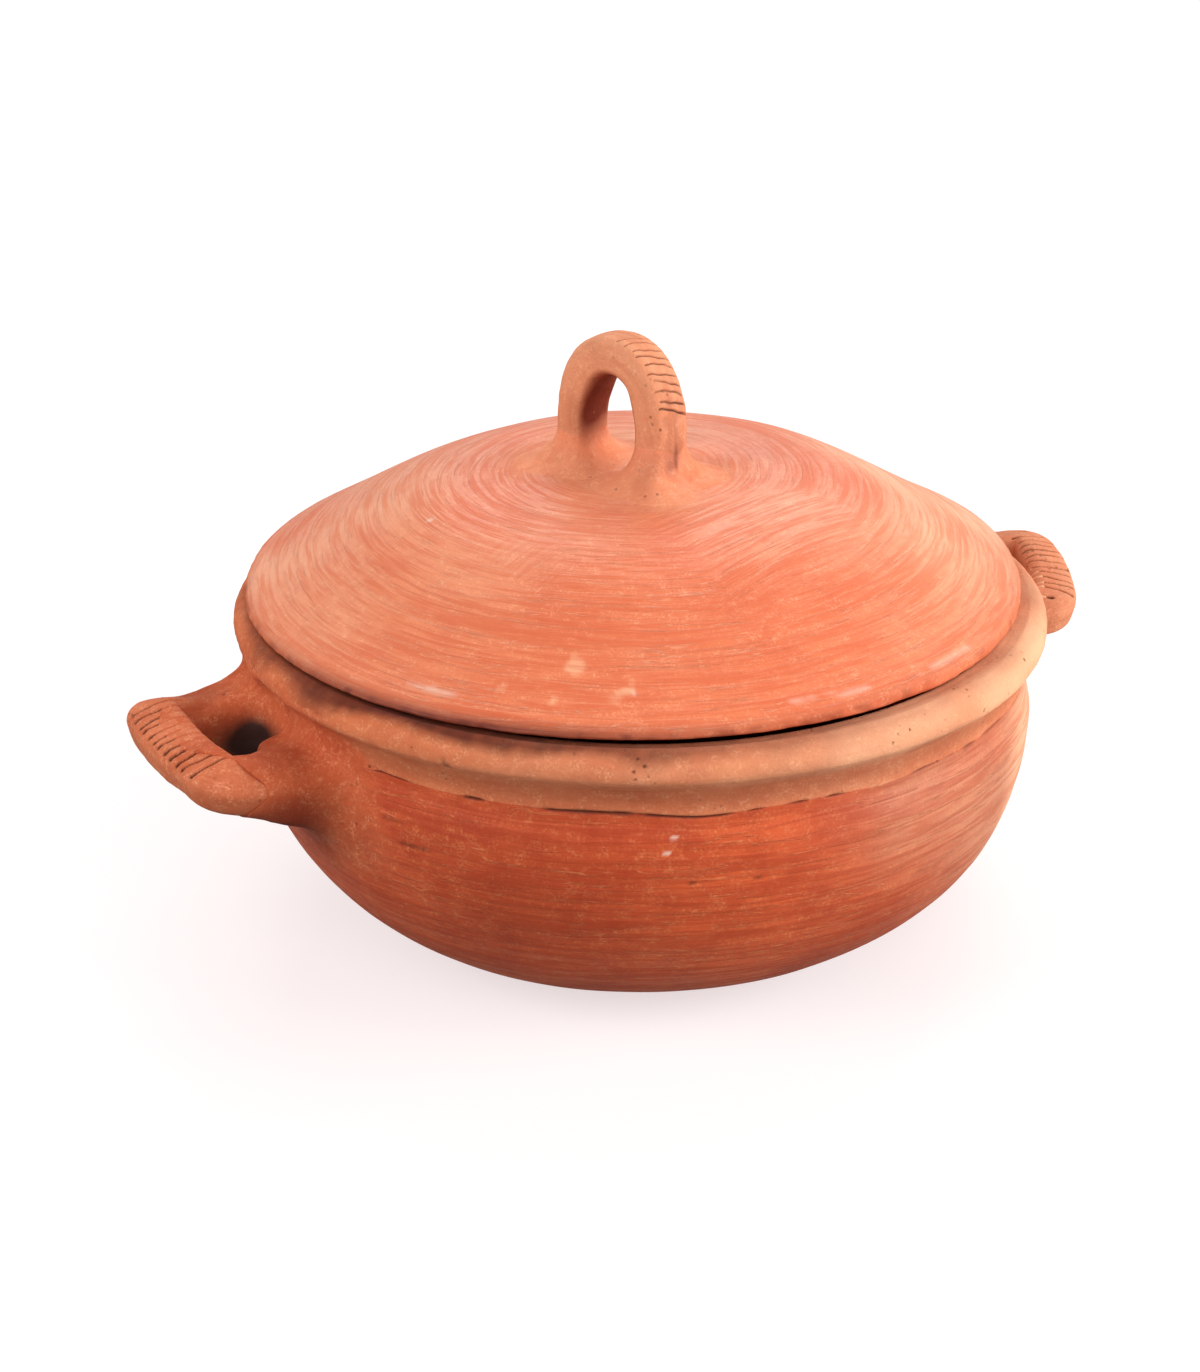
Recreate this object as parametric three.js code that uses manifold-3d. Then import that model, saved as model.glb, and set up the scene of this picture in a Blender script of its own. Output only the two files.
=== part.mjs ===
// A hand-built clay pot with two ears and a domed lid, in millimetres, +Z up.
// The pot stands on z = 0 with its ears along X. Each lump of clay that the potter joined on is its own piece.

import * as THREE from 'three';
import { ConvexGeometry } from 'three/addons/geometries/ConvexGeometry.js';
import { mergeVertices } from 'three/addons/utils/BufferGeometryUtils.js';
import Module from 'manifold-3d';

const wasm = await Module();
wasm.setup();

// Driving dimensions of the bowl.
const BASE_RADIUS = 62;
const BELLY_RADIUS = 145.2;
const BELLY_HEIGHT = 86;
const BASE_PULL = 26;
const BELLY_PULL = 59;
const NECK_RADIUS = 142.5;
const NECK_HEIGHT = 104;
const WALL = 8;

// Driving dimensions of the rim coil.
const LIP_RADIUS = 150;
const LIP_HEIGHT = 119.8;
const RIM_TOP = 127.5;
const LIP_ROLL = 6.5;
const SEAT_INNER_RADIUS = 135;
const RIM_INNER_RADIUS = 133.5;

// Driving dimensions of the lid. It sits a little off the pot's axis, and its dome leans towards the front.
const LID_RADIUS = 142.8;
const LID_TOP = 172.5;
const LID_SHOULDER = { radius: 140.6, height: 134.2 };
const LID_CROWN_PULL = 90;
const LID_SHOULDER_PULL = { out: 64, up: 35 };
const LID_WALL = 7.5;
const LID_LAND = { inner: 130.5, outer: 140.5 };
const LID_OFFSET = { x: -1, y: 4 };
const LID_LEAN = { x: 2.7, y: 1.9 };
const LEAN_BLEND = 6;

// Driving dimensions of the ears, each a strap bent round a finger hole. Its broad upper face falls
// away outward by the bevel, in degrees. The two were set on by hand, so each has its own pose.
const EAR = { buried: 24, legEnd: 2, acrossPlane: 15.2 };
const EAR_POSES = {
  left: {
    turn: 181.9, height: 93.7, slope: -11.3, yaw: 3.5, roll: -2.7,
    halfSpan: 27.8, legPull: 37.4, tipPull: 40, reach: 37.4, inPlane: 20.6, bevel: 22.8, ticks: 12,
    wads: [{ drop: 5, flare: 13, collarHeight: 24 }, { drop: 9.5, flare: 13, collarHeight: 26 }],
  },
  right: {
    turn: -4, height: 105.2, slope: -5.6, yaw: -21.5, roll: 6.1,
    halfSpan: 26.6, legPull: 27, tipPull: 31.3, reach: 27, inPlane: 18.8, bevel: 15.6, ticks: 13,
    wads: [{ drop: 3, flare: 10, collarHeight: 15 }, { drop: 3, flare: 10, collarHeight: 15 }],
  },
};
const EAR_TICK = { pitch: 4.6, length: 13.5 };

// Driving dimensions of the loop on the lid, a strap bent over two fingers.
const LOOP = {
  halfSpan: 18.4, buried: 6, legEnd: 12, legPull: 32, tipPull: 11, reach: 42.4,
  inPlane: 16, acrossPlane: 19, bevel: 0, drop: 0, flare: 9, collarHeight: 15,
};
const LOOP_POSE = { x: -3.8, y: 1.9, turn: -67 };
const LOOP_TICK = { count: 10, first: 0.55, last: 0.78, slant: -19, length: 15 };

// A tick is a V-shaped cut made with the edge of a tool.
const TICK = { width: 1.3, depth: 0.9 };

// How finely the curves are divided, the slip joint left between two pieces, and how far a wad of
// clay stands proud at its edge, goes into the surface that carries it and thickens the strap.
const AROUND = 60;
const SECTION_POINTS = 16;
const STRAP_STEPS = 36;
const COLLAR_STEPS = 5;
const ROOT_STEPS = 400;
const SECTION_SQUARENESS = 3.4;
const SLIP = 0.3;
const WAD = { edge: 0.9, buried: 4, skin: 0.9 };
const MERGE = 1e-4;

const rad = THREE.MathUtils.degToRad;
const at = (x, y) => new THREE.Vector2(x, y);
const spot = (x, y, z) => new THREE.Vector3(x, y, z);

/** Points along a cubic curve in a profile, without its first point. */
function bend(start, pullStart, pullEnd, end, steps) {
  return new THREE.CubicBezierCurve(start, pullStart, pullEnd, end).getPoints(steps).slice(1);
}

/** A closed solid from a geometry whose shared points are merged. */
function solid(geometry) {
  const bare = geometry.clone();
  bare.deleteAttribute('normal');
  bare.deleteAttribute('uv');
  const merged = mergeVertices(bare, MERGE);
  const position = merged.attributes.position;
  const corner = (i) => new THREE.Vector3().fromBufferAttribute(position, i);
  const triangles = [];
  let volume = 0;
  for (let i = 0; i < merged.index.count; i += 3) {
    const [a, b, c] = [0, 1, 2].map((k) => merged.index.getX(i + k));
    if (a === b || b === c || c === a) continue;
    triangles.push([a, b, c]);
    volume += corner(a).dot(corner(b).cross(corner(c)));
  }
  const outward = volume > 0 ? triangles : triangles.map(([a, b, c]) => [a, c, b]);
  return new wasm.Manifold(new wasm.Mesh({
    numProp: 3,
    vertProperties: new Float32Array(position.array),
    triVerts: new Uint32Array(outward.flat()),
  }));
}

/** The geometry of a solid that has been cut or joined. */
function skin(body) {
  const mesh = body.getMesh();
  const geometry = new THREE.BufferGeometry();
  geometry.setAttribute('position', new THREE.BufferAttribute(mesh.vertProperties, 3));
  geometry.setIndex(new THREE.BufferAttribute(mesh.triVerts, 1));
  geometry.computeVertexNormals();
  return geometry;
}

/** A profile turned about the Z axis. */
function turned(profile) {
  return new THREE.LatheGeometry(profile, AROUND).rotateX(Math.PI / 2);
}

/** A profile fattened by a margin: every point moves out along the outline's normal. */
function fattened(profile, margin) {
  return profile.map((point, i) => {
    const before = profile[Math.max(i - 1, 0)];
    const after = profile[Math.min(i + 1, profile.length - 1)];
    const way = after.clone().sub(before).normalize();
    return at(point.x === 0 ? 0 : point.x + way.y * margin, point.y - way.x * margin);
  });
}

/** Reads one coordinate of a profile where its other coordinate has a given value. */
function read(profile, known, value, wanted) {
  const i = Math.max(profile.findIndex((point) => point[known] >= value), 1);
  const share = (value - profile[i - 1][known]) / (profile[i][known] - profile[i - 1][known]);
  return THREE.MathUtils.lerp(profile[i - 1][wanted], profile[i][wanted], share);
}

/** The bowl's outside, from the middle of its base up to the neck. */
function bowlOutside() {
  return [
    at(0, 0),
    at(BASE_RADIUS, 0),
    ...bend(at(BASE_RADIUS, 0), at(BASE_RADIUS + BASE_PULL, 0), at(BELLY_RADIUS, BELLY_HEIGHT - BELLY_PULL),
      at(BELLY_RADIUS, BELLY_HEIGHT), 13),
    ...bend(at(BELLY_RADIUS, BELLY_HEIGHT), at(BELLY_RADIUS, BELLY_HEIGHT + 8), at(NECK_RADIUS, NECK_HEIGHT - 6),
      at(NECK_RADIUS, NECK_HEIGHT), 3),
  ];
}

/** The bowl's inside, from the neck down to the middle of its floor. */
function bowlInside() {
  const inner = BELLY_RADIUS - WALL;
  return [
    at(NECK_RADIUS - WALL, NECK_HEIGHT),
    ...bend(at(NECK_RADIUS - WALL, NECK_HEIGHT), at(NECK_RADIUS - WALL, NECK_HEIGHT - 6),
      at(inner, BELLY_HEIGHT + 8), at(inner, BELLY_HEIGHT), 2),
    ...bend(at(inner, BELLY_HEIGHT), at(inner, BELLY_HEIGHT - BELLY_PULL + WALL),
      at(BASE_RADIUS + BASE_PULL - 3, WALL), at(BASE_RADIUS - 4, WALL + 0.5), 10),
    at(0, WALL + 0.5),
  ];
}

/** The rim coil's outside, from the neck up round the rolled lip to the top. */
function rimOutside() {
  const lip = new THREE.EllipseCurve(
    LIP_RADIUS - LIP_ROLL, LIP_HEIGHT, LIP_ROLL, RIM_TOP - LIP_HEIGHT, rad(-50), rad(90), false, 0,
  ).getPoints(8);
  const neck = at(NECK_RADIUS, NECK_HEIGHT);
  return [neck, ...bend(neck, at(neck.x, neck.y + 4), at(lip[0].x - 2, lip[0].y - 3), lip[0], 3), ...lip.slice(1)];
}

/** The rim coil's whole outline: its outside, the level seat and the inside down to the neck. */
function rimOutline() {
  return [
    ...rimOutside(),
    at(SEAT_INNER_RADIUS + 1, RIM_TOP),
    at(SEAT_INNER_RADIUS - 0.6, RIM_TOP - 1.2),
    at(RIM_INNER_RADIUS, RIM_TOP - 4),
    at(NECK_RADIUS - WALL, NECK_HEIGHT),
  ];
}

/** The pot's outside radius at a height, on the bowl or on the rim above it. */
function wallRadius(height) {
  const wall = [...bowlOutside().slice(2), ...rimOutside().slice(1)];
  return read(wall, 'y', Math.min(height, LIP_HEIGHT), 'x');
}

/** The lid's outside, from the crown down to the shoulder above its edge. */
function domeOutside() {
  const crown = at(0, LID_TOP);
  const shoulder = at(LID_SHOULDER.radius, LID_SHOULDER.height);
  const pull = at(shoulder.x - LID_SHOULDER_PULL.out, shoulder.y + LID_SHOULDER_PULL.up);
  return [crown, ...bend(crown, at(LID_CROWN_PULL, LID_TOP), pull, shoulder, 10)];
}

/** The lid's whole outline, from the crown round the edge and back under the dome. */
function lidOutline() {
  const shoulder = at(LID_SHOULDER.radius, LID_SHOULDER.height);
  const land = at(LID_LAND.outer, RIM_TOP);
  const underEdge = at(LID_LAND.inner - 2, LID_SHOULDER.height - 1.5);
  const underCrown = at(0, LID_TOP - LID_WALL);
  return [
    ...domeOutside(),
    ...bend(shoulder, at(LID_RADIUS + 0.6, shoulder.y - 1.4), at(LID_RADIUS + 0.6, RIM_TOP + 1), land, 4),
    at(LID_LAND.inner, RIM_TOP),
    underEdge,
    ...bend(underEdge, at(underEdge.x - LID_SHOULDER_PULL.out, underEdge.y + LID_SHOULDER_PULL.up - 3),
      at(LID_CROWN_PULL - 6, underCrown.y), underCrown, 8),
  ];
}

/** Lowers the front of the dome and raises the back, leaving the flat land under the edge level. */
function leaned(geometry) {
  const position = geometry.attributes.position;
  for (let i = 0; i < position.count; i++) {
    const share = THREE.MathUtils.clamp((position.getZ(i) - RIM_TOP) / LEAN_BLEND, 0, 1) / LID_RADIUS;
    const rise = share * (position.getX(i) * LID_LEAN.x + position.getY(i) * LID_LEAN.y);
    position.setZ(i, position.getZ(i) + rise);
  }
  return geometry;
}

/** The lid's outside height at a place on the lid. */
function domeHeight(x, y) {
  const height = read(domeOutside(), 'x', Math.hypot(x, y), 'y');
  return height + (x * LID_LEAN.x + y * LID_LEAN.y) / LID_RADIUS;
}

/**
 * A strap's rounded, nearly square-edged section, turned by its bevel.
 * Its X runs down across the strap's plane, and its Y runs in towards the finger hole.
 */
function section(size, margin) {
  const power = 2 / SECTION_SQUARENESS;
  const swell = (value) => Math.sign(value) * Math.abs(value) ** power;
  return Array.from({ length: SECTION_POINTS }, (_, i) => {
    const angle = (i / SECTION_POINTS) * 2 * Math.PI;
    const down = (size.acrossPlane / 2 + margin) * swell(Math.cos(angle));
    const inward = (size.inPlane / 2 + margin) * swell(Math.sin(angle));
    return at(down, inward).rotateAround(at(0, 0), rad(size.bevel));
  });
}

/** The middle line of a bent strap, in the XY plane: out along one leg, round the tip and back. */
function strapLine(size) {
  const leg = (side) => [spot(-size.buried, side * size.halfSpan, 0), spot(size.legEnd, side * size.halfSpan, 0)];
  const turn = (side) => [
    spot(size.legEnd, side * size.halfSpan, 0),
    spot(size.legPull, side * size.halfSpan, 0),
    spot(size.reach, side * size.tipPull, 0),
    spot(size.reach, 0, 0),
  ];
  const line = new THREE.CurvePath();
  line.add(new THREE.LineCurve3(...leg(-1)));
  line.add(new THREE.CubicBezierCurve3(...turn(-1)));
  line.add(new THREE.CubicBezierCurve3(...turn(1).reverse()));
  line.add(new THREE.LineCurve3(...leg(1).reverse()));
  return line;
}

/** A place on a strap's middle line, with the directions along it, in to the hole and out from it. */
function station(line, share) {
  const along = line.getTangentAt(share);
  return { place: line.getPointAt(share), along, inward: spot(-along.y, along.x, 0), outward: spot(along.y, -along.x, 0) };
}

/** A section's points at a station of a strap, dropped by a distance. */
function ringAt(frame, points, drop = 0) {
  return points.map((p) => frame.place.clone().addScaledVector(frame.inward, p.y).add(spot(0, 0, -p.x - drop)));
}

/** A solid through convex rings of points, joined from the convex stretch between each two of them. */
function through(rings) {
  const stretches = rings.slice(1).map((ring, i) => solid(new ConvexGeometry([...rings[i], ...ring])));
  return stretches.reduce((whole, stretch) => whole.add(stretch));
}

/** A skin over rings of equally many points, closed by a fan on the first ring and on the last. */
function loft(rings) {
  const count = rings[0].length;
  const points = rings.flat();
  const triangles = [];
  for (let r = 0; r + 1 < rings.length; r++) {
    for (let i = 0; i < count; i++) {
      const [a, b] = [r * count + i, r * count + ((i + 1) % count)];
      triangles.push(a, b, b + count, a, b + count, a + count);
    }
  }
  for (const [ring, turn] of [[0, 1], [rings.length - 1, -1]]) {
    const middle = rings[ring].reduce((sum, p) => sum.add(p), new THREE.Vector3()).divideScalar(count);
    points.push(middle);
    for (let i = 0; i < count; i++) {
      const [a, b] = [ring * count + i, ring * count + ((i + 1) % count)];
      triangles.push(points.length - 1, turn > 0 ? b : a, turn > 0 ? a : b);
    }
  }
  const geometry = new THREE.BufferGeometry().setFromPoints(points);
  geometry.setIndex(triangles);
  return geometry;
}

/** Where the stretch from a to b crosses the one from c to d, seen along Z, or nothing. */
function crossing(a, b, c, d) {
  const [ab, cd, ac] = [b.clone().sub(a), d.clone().sub(c), c.clone().sub(a)];
  const turn = ab.x * cd.y - ab.y * cd.x;
  const share = (ac.x * cd.y - ac.y * cd.x) / turn;
  const other = (ac.x * ab.y - ac.y * ab.x) / turn;
  return share > 0 && share < 1 && other > 0 && other < 1 ? a.clone().addScaledVector(ab, share) : null;
}

/** Takes out the loop that a path makes where it follows the inner side of a tight bend. */
function unlooped(path) {
  for (let i = 0; i + 2 < path.length; i++) {
    for (let j = path.length - 2; j > i + 1; j--) {
      const meeting = crossing(path[i], path[i + 1], path[j], path[j + 1]);
      if (meeting) path.fill(meeting, i + 1, j + 1);
    }
  }
  return path;
}

/** A strap swept along its middle line, fattened by a margin. */
function strap(size, margin = 0) {
  const line = strapLine(size);
  const outline = section(size, margin);
  const rings = Array.from({ length: STRAP_STEPS + 1 }, (_, i) => ringAt(station(line, i / STRAP_STEPS), outline));
  const paths = outline.map((_, i) => unlooped(rings.map((ring) => ring[i])));
  return solid(loft(rings.map((_, k) => paths.map((path) => path[k]))));
}

/** The share of a strap's length at which one of its legs comes out of the surface that carries it. */
function rootShare(line, side, surface) {
  for (let i = 0; i < ROOT_STEPS; i++) {
    const share = side < 0 ? i / (2 * ROOT_STEPS) : 1 - i / (2 * ROOT_STEPS);
    if (surface.clears(line.getPointAt(share))) return share;
  }
  return 0.5;
}

/**
 * The wad of clay smeared round a strap's root, dropped a little down the surface that carries it.
 * It leaves that surface along the surface, and meets the strap along the strap.
 */
function collar(size, side, surface) {
  const line = strapLine(size);
  const share = rootShare(line, side, surface);
  const foot = station(line, share);
  const neck = station(line, share - side * (size.collarHeight / line.getLength()));
  const top = ringAt(neck, section(size, WAD.skin));
  const topPull = neck.along.clone().multiplyScalar(-side * size.collarHeight * 1.2);
  const wide = ringAt(foot, section(size, size.flare), size.drop);
  const base = wide.map((p) => surface.on(p, WAD.edge));
  const nearer = ringAt(foot, section(size, 0), size.drop).map((p) => surface.on(p, WAD.edge));
  const rings = [wide.map((p) => surface.on(p, -WAD.buried))];
  for (let k = 0; k <= COLLAR_STEPS; k++) {
    const t = k / COLLAR_STEPS;
    rings.push(base.map((start, i) => new THREE.Vector3()
      .addScaledVector(start, 2 * t ** 3 - 3 * t ** 2 + 1)
      .addScaledVector(nearer[i].clone().sub(start).multiplyScalar(1.5), t ** 3 - 2 * t ** 2 + t)
      .addScaledVector(top[i], 3 * t ** 2 - 2 * t ** 3)
      .addScaledVector(topPull, t ** 3 - t ** 2)));
  }
  return through(rings);
}

/** One tick, a wedge lying along Y with its edge down at -Z. */
function tick(length) {
  const wedge = new THREE.Shape([
    at(-TICK.width / 2, 0), at(0, -TICK.depth), at(TICK.width / 2, 0), at(TICK.width / 2, 2), at(-TICK.width / 2, 2),
  ]);
  return new THREE.ExtrudeGeometry(wedge, { depth: length, bevelEnabled: false })
    .translate(0, 0, -length / 2)
    .rotateX(Math.PI / 2);
}

/** The ticks across an ear's upper face, all pointing straight out from the pot. */
function earTicks(size) {
  const line = strapLine(size);
  const stations = Array.from({ length: ROOT_STEPS }, (_, i) => station(line, (i + 0.5) / ROOT_STEPS));
  const free = stations.filter((s) => s.place.x > size.reach / 5);
  return Array.from({ length: size.ticks }, (_, i) => {
    const y = (i - (size.ticks - 1) / 2) * EAR_TICK.pitch;
    const here = free.reduce((a, b) => (Math.abs(a.place.y - y) < Math.abs(b.place.y - y) ? a : b));
    const normal = here.outward.clone().multiplyScalar(Math.sin(rad(size.bevel))).setZ(Math.cos(rad(size.bevel)));
    const out = spot(1, 0, 0).addScaledVector(normal, -normal.x).normalize();
    const frame = new THREE.Matrix4().makeBasis(out.clone().cross(normal), out, normal);
    frame.setPosition(here.place.clone().addScaledVector(normal, size.acrossPlane / 2));
    return tick(EAR_TICK.length).applyMatrix4(frame);
  });
}

/** The ticks across the outer face of the loop's front leg, each slanting a little. */
function loopTicks() {
  const line = strapLine(LOOP);
  return Array.from({ length: LOOP_TICK.count }, (_, i) => {
    const { place, along, outward } = station(
      line, THREE.MathUtils.lerp(LOOP_TICK.first, LOOP_TICK.last, i / (LOOP_TICK.count - 1)),
    );
    const frame = new THREE.Matrix4().makeBasis(along, outward.clone().cross(along), outward);
    frame.setPosition(place.addScaledVector(outward, LOOP.inPlane / 2));
    return tick(LOOP_TICK.length).rotateZ(rad(LOOP_TICK.slant)).applyMatrix4(frame);
  });
}

/** Cuts each solid in a list out of another one. */
function cut(body, tools) {
  return tools.reduce((left, tool) => left.subtract(tool), body);
}

/** The main body of a cut solid, without any crumb or pocket that a glancing cut leaves. */
function whole(body) {
  return body.decompose().reduce((a, b) => (a.volume() > b.volume() ? a : b));
}

/** A named mesh in its own fired-clay colour. */
function piece(name, geometry, color, roughness) {
  const mesh = new THREE.Mesh(geometry, new THREE.MeshStandardMaterial({ color, roughness, metalness: 0 }));
  mesh.name = name;
  return mesh;
}

/** One ear: its strap and its two wads, cut where they meet the wall and the rim. */
function ear(name, pose) {
  const size = { ...EAR, ...pose };
  const frame = new THREE.Matrix4().makeRotationZ(rad(pose.turn))
    .multiply(new THREE.Matrix4().makeTranslation(BELLY_RADIUS, 0, pose.height))
    .multiply(new THREE.Matrix4().makeRotationZ(rad(pose.yaw)))
    .multiply(new THREE.Matrix4().makeRotationY(rad(pose.slope)))
    .multiply(new THREE.Matrix4().makeRotationX(rad(pose.roll)));
  const back = frame.clone().invert();
  const carrier = [
    turned(fattened([...bowlOutside(), at(0, NECK_HEIGHT)], SLIP)),
    turned(fattened([at(0, NECK_HEIGHT - 1), ...rimOutside(), at(0, RIM_TOP)], SLIP)),
  ].map((geometry) => solid(geometry.applyMatrix4(back)));
  const wall = {
    clears: (local) => {
      const p = local.clone().applyMatrix4(frame);
      return Math.hypot(p.x, p.y) > wallRadius(p.z);
    },
    on: (local, proud) => {
      const p = local.clone().applyMatrix4(frame);
      const scale = (wallRadius(p.z) + proud) / Math.hypot(p.x, p.y);
      return spot(p.x * scale, p.y * scale, p.z).applyMatrix4(back);
    },
  };
  const group = new THREE.Group();
  group.applyMatrix4(frame);
  const band = cut(strap(size), [...carrier, ...earTicks(size).map(solid)]);
  group.add(piece(`ear_${name}_strap`, skin(band), 0xc8714a, 0.78));
  for (const [i, side] of [-1, 1].entries()) {
    const where = (side < 0) === (name === 'right') ? 'front' : 'rear';
    const lump = collar({ ...size, ...pose.wads[i] }, side, wall);
    const wad = whole(cut(lump, [...carrier, strap(size, SLIP)]));
    group.add(piece(`ear_${name}_${where}_wad`, skin(wad), 0xb9623f, 0.85));
  }
  return group;
}

/** The loop's strap and its two wads, cut where they meet the dome. */
function lidLoop(dome) {
  const frame = new THREE.Matrix4().makeRotationZ(rad(LOOP_POSE.turn))
    .multiply(new THREE.Matrix4().makeBasis(spot(0, 0, 1), spot(1, 0, 0), spot(0, 1, 0)));
  frame.setPosition(LOOP_POSE.x, LOOP_POSE.y, LID_TOP);
  const back = frame.clone().invert();
  const carrier = solid(dome.clone().applyMatrix4(back));
  const crown = {
    clears: (local) => {
      const p = local.clone().applyMatrix4(frame);
      return p.z > domeHeight(p.x, p.y);
    },
    on: (local, proud) => {
      const p = local.clone().applyMatrix4(frame);
      return p.setZ(domeHeight(p.x, p.y) + proud).applyMatrix4(back);
    },
  };
  const group = new THREE.Group();
  group.applyMatrix4(frame);
  const band = cut(strap(LOOP), [carrier, ...loopTicks().map(solid)]);
  group.add(piece('lid_loop_strap', skin(band), 0xd07a52, 0.75));
  for (const [name, side] of [['rear', -1], ['front', 1]]) {
    const wad = whole(cut(collar(LOOP, side, crown), [carrier, strap(LOOP, SLIP)]));
    group.add(piece(`lid_loop_${name}_wad`, skin(wad), 0xc46b47, 0.85));
  }
  return group;
}

/** The pot: its shell, the coil that makes its rim, and its ears. */
function pot() {
  const group = new THREE.Group();
  group.add(piece('bowl_shell', skin(solid(turned([...bowlOutside(), ...bowlInside()]))), 0xbd6440, 0.6));
  const rim = rimOutline();
  group.add(piece('rim_coil', skin(solid(turned([...rim, rim[0]]))), 0xc9794f, 0.8));
  group.add(ear('left', EAR_POSES.left), ear('right', EAR_POSES.right));
  return group;
}

/** The lid: its dome and its loop. */
function lid() {
  const group = new THREE.Group();
  group.position.set(LID_OFFSET.x, LID_OFFSET.y, 0);
  group.add(piece('lid_dome', skin(solid(leaned(turned(lidOutline())))), 0xcd7350, 0.5));
  const carrier = leaned(turned([at(0, RIM_TOP), ...fattened(domeOutside(), -SLIP).reverse()]));
  group.add(lidLoop(carrier));
  return group;
}

const clayPot = new THREE.Group();
clayPot.add(pot(), lid());

export default clayPot;
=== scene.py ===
"""Dresses a hand-built clay pot with a domed lid for a plain studio picture."""

import logging
import math
from collections.abc import Callable
from dataclasses import dataclass, field
from enum import Enum
from functools import reduce

import bmesh
import bpy
import numpy as np
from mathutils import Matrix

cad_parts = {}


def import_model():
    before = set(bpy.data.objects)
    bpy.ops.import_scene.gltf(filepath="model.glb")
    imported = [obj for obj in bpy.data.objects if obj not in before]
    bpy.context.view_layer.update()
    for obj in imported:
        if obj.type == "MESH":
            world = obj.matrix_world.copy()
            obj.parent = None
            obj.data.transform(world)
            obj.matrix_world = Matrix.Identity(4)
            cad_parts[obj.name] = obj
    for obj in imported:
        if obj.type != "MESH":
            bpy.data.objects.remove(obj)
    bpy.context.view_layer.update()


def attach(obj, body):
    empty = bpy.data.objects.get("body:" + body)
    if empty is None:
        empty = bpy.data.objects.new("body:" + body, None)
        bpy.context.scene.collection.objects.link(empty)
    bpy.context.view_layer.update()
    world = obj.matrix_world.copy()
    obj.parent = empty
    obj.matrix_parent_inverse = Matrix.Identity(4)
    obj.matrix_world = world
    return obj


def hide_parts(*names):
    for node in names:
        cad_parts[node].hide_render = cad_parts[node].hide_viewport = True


LOG = logging.getLogger("clay_pot")
MM = 0.001
Points = np.ndarray
Faces = list[list[int]]
Flat = tuple[float, float]
Spot = tuple[float, float, float]
Color = tuple[float, float, float, float]
Node = bpy.types.Node
Socket = bpy.types.NodeSocket

# The pot's outside, in millimetres, as (radius, height) points of its curves.
BASE_RADIUS = 62.0
BASE_PULL = 26.0
BELLY = (145.2, 86.0)
BELLY_PULL = 59.0
NECK = (142.5, 104.0)
WALL = 8.0
LIP = (143.5, 119.8)
LIP_ROLL = (6.5, 7.7)
RIM_TOP = 127.5
SEAT_INNER = 134.4

# The lid's outside, its edge and how it sits: off the pot's axis, and leaning.
LID_TOP = 172.5
CROWN_PULL = 90.0
SHOULDER = (140.6, 134.2)
SHOULDER_PULL = (64.0, 35.0)
LID_EDGE = 143.4
LAND = (130.5, 140.5)
LID_OFFSET = (-1.0, 4.0)
LID_LEAN = (2.7, 1.9)
LID_RADIUS = 142.8
LID_WALL = 7.5

# The directions, round the pot, of the viewer and of the front gap under the lid.
VIEW_AZIMUTH = math.radians(-27)
FRONT = math.radians(-117)
GAP_HALF_WIDTH = math.radians(38)

# Where the marks of hand, fire and wear lie, and where light and shade are painted on, in degrees round the
# pot.
FULLER_SIDE = -45
GROOVE_AND_SHADOW_SIDE = -150
RIM_CLOUD_AND_LIGHT = -60
LID_CHIPS = -80
LID_CROSSED = -84
LID_SHADE = -142
LID_LIT_RIGHT = -16
LID_SHEEN_REAR = 160

# The height at which the lid's unevenness is read, so that it runs through its whole thickness.
LID_SLICE = 150.0

# How pale the clay of the loop is against the rest.
LOOP_PALENESS = 0.36


class Rider(Enum):
    """The two bodies that pieces ride on."""

    POT = "pot"
    LID = "lid"


class EarSide(Enum):
    """The two ears, as the viewer sees them."""

    LEFT = "left"
    RIGHT = "right"


class Stain(Enum):
    """The kinds of mark on the clay, painted light and shade among them, by the names of the values that the
    mesh carries.
    """

    SMOKE_AND_SHADE = "smoke_and_shade"
    PALE_AND_LIT = "pale_and_lit"
    SALT_AND_SHEEN = "salt_and_sheen"
    DIRT_AND_SHADE = "dirt_and_shade"


class Axis(Enum):
    """The axes that things are turned about."""

    X = "x"
    Y = "y"
    Z = "z"


def srgb(red: int, green: int, blue: int) -> Color:
    """Turn a screen colour into the linear colour that shaders take."""
    linear = [((c / 255 + 0.055) / 1.055) ** 2.4 if c > 10 else c / 255 / 12.92 for c in (red, green, blue)]
    return (*linear, 1.0)


def bezier(points: list[Flat], steps: int) -> Points:
    """Sample a cubic curve.

    Args:
        points: The four control points.
        steps: How many stretches it is divided into.

    Returns:
        The points on the curve, both ends included.
    """
    t = np.linspace(0, 1, steps + 1)[:, None]
    a, b, c, d = (np.array(p, float) for p in points)
    return (1 - t) ** 3 * a + 3 * (1 - t) ** 2 * t * b + 3 * (1 - t) * t**2 * c + t**3 * d


def bump(value: Points, middle: float, width: float) -> Points:
    """Return a smooth hill of height 1 at the middle."""
    return np.exp(-(((value - middle) / width) ** 2))


def unit(value: Points) -> Points:
    """Keep values between 0 and 1."""
    return np.clip(value, 0, 1)


def turn_between(angle: Points, middle: float) -> Points:
    """Return how far each angle is from a middle one, the short way round."""
    return (angle - middle + math.pi) % (2 * math.pi) - math.pi


def sector(angle: Points, degrees: float, width: float) -> Points:
    """Return a smooth hill of height 1 in one direction, as wide as the given radians."""
    return bump(turn_between(angle, math.radians(degrees)), 0, width)


def around_of(points: Points) -> Points:
    """Return the direction of each point round the axis."""
    return np.arctan2(points[..., 1], points[..., 0])


def reach_of(points: Points) -> Points:
    """Return how far each point is from the axis."""
    return np.hypot(points[..., 0], points[..., 1])


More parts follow.
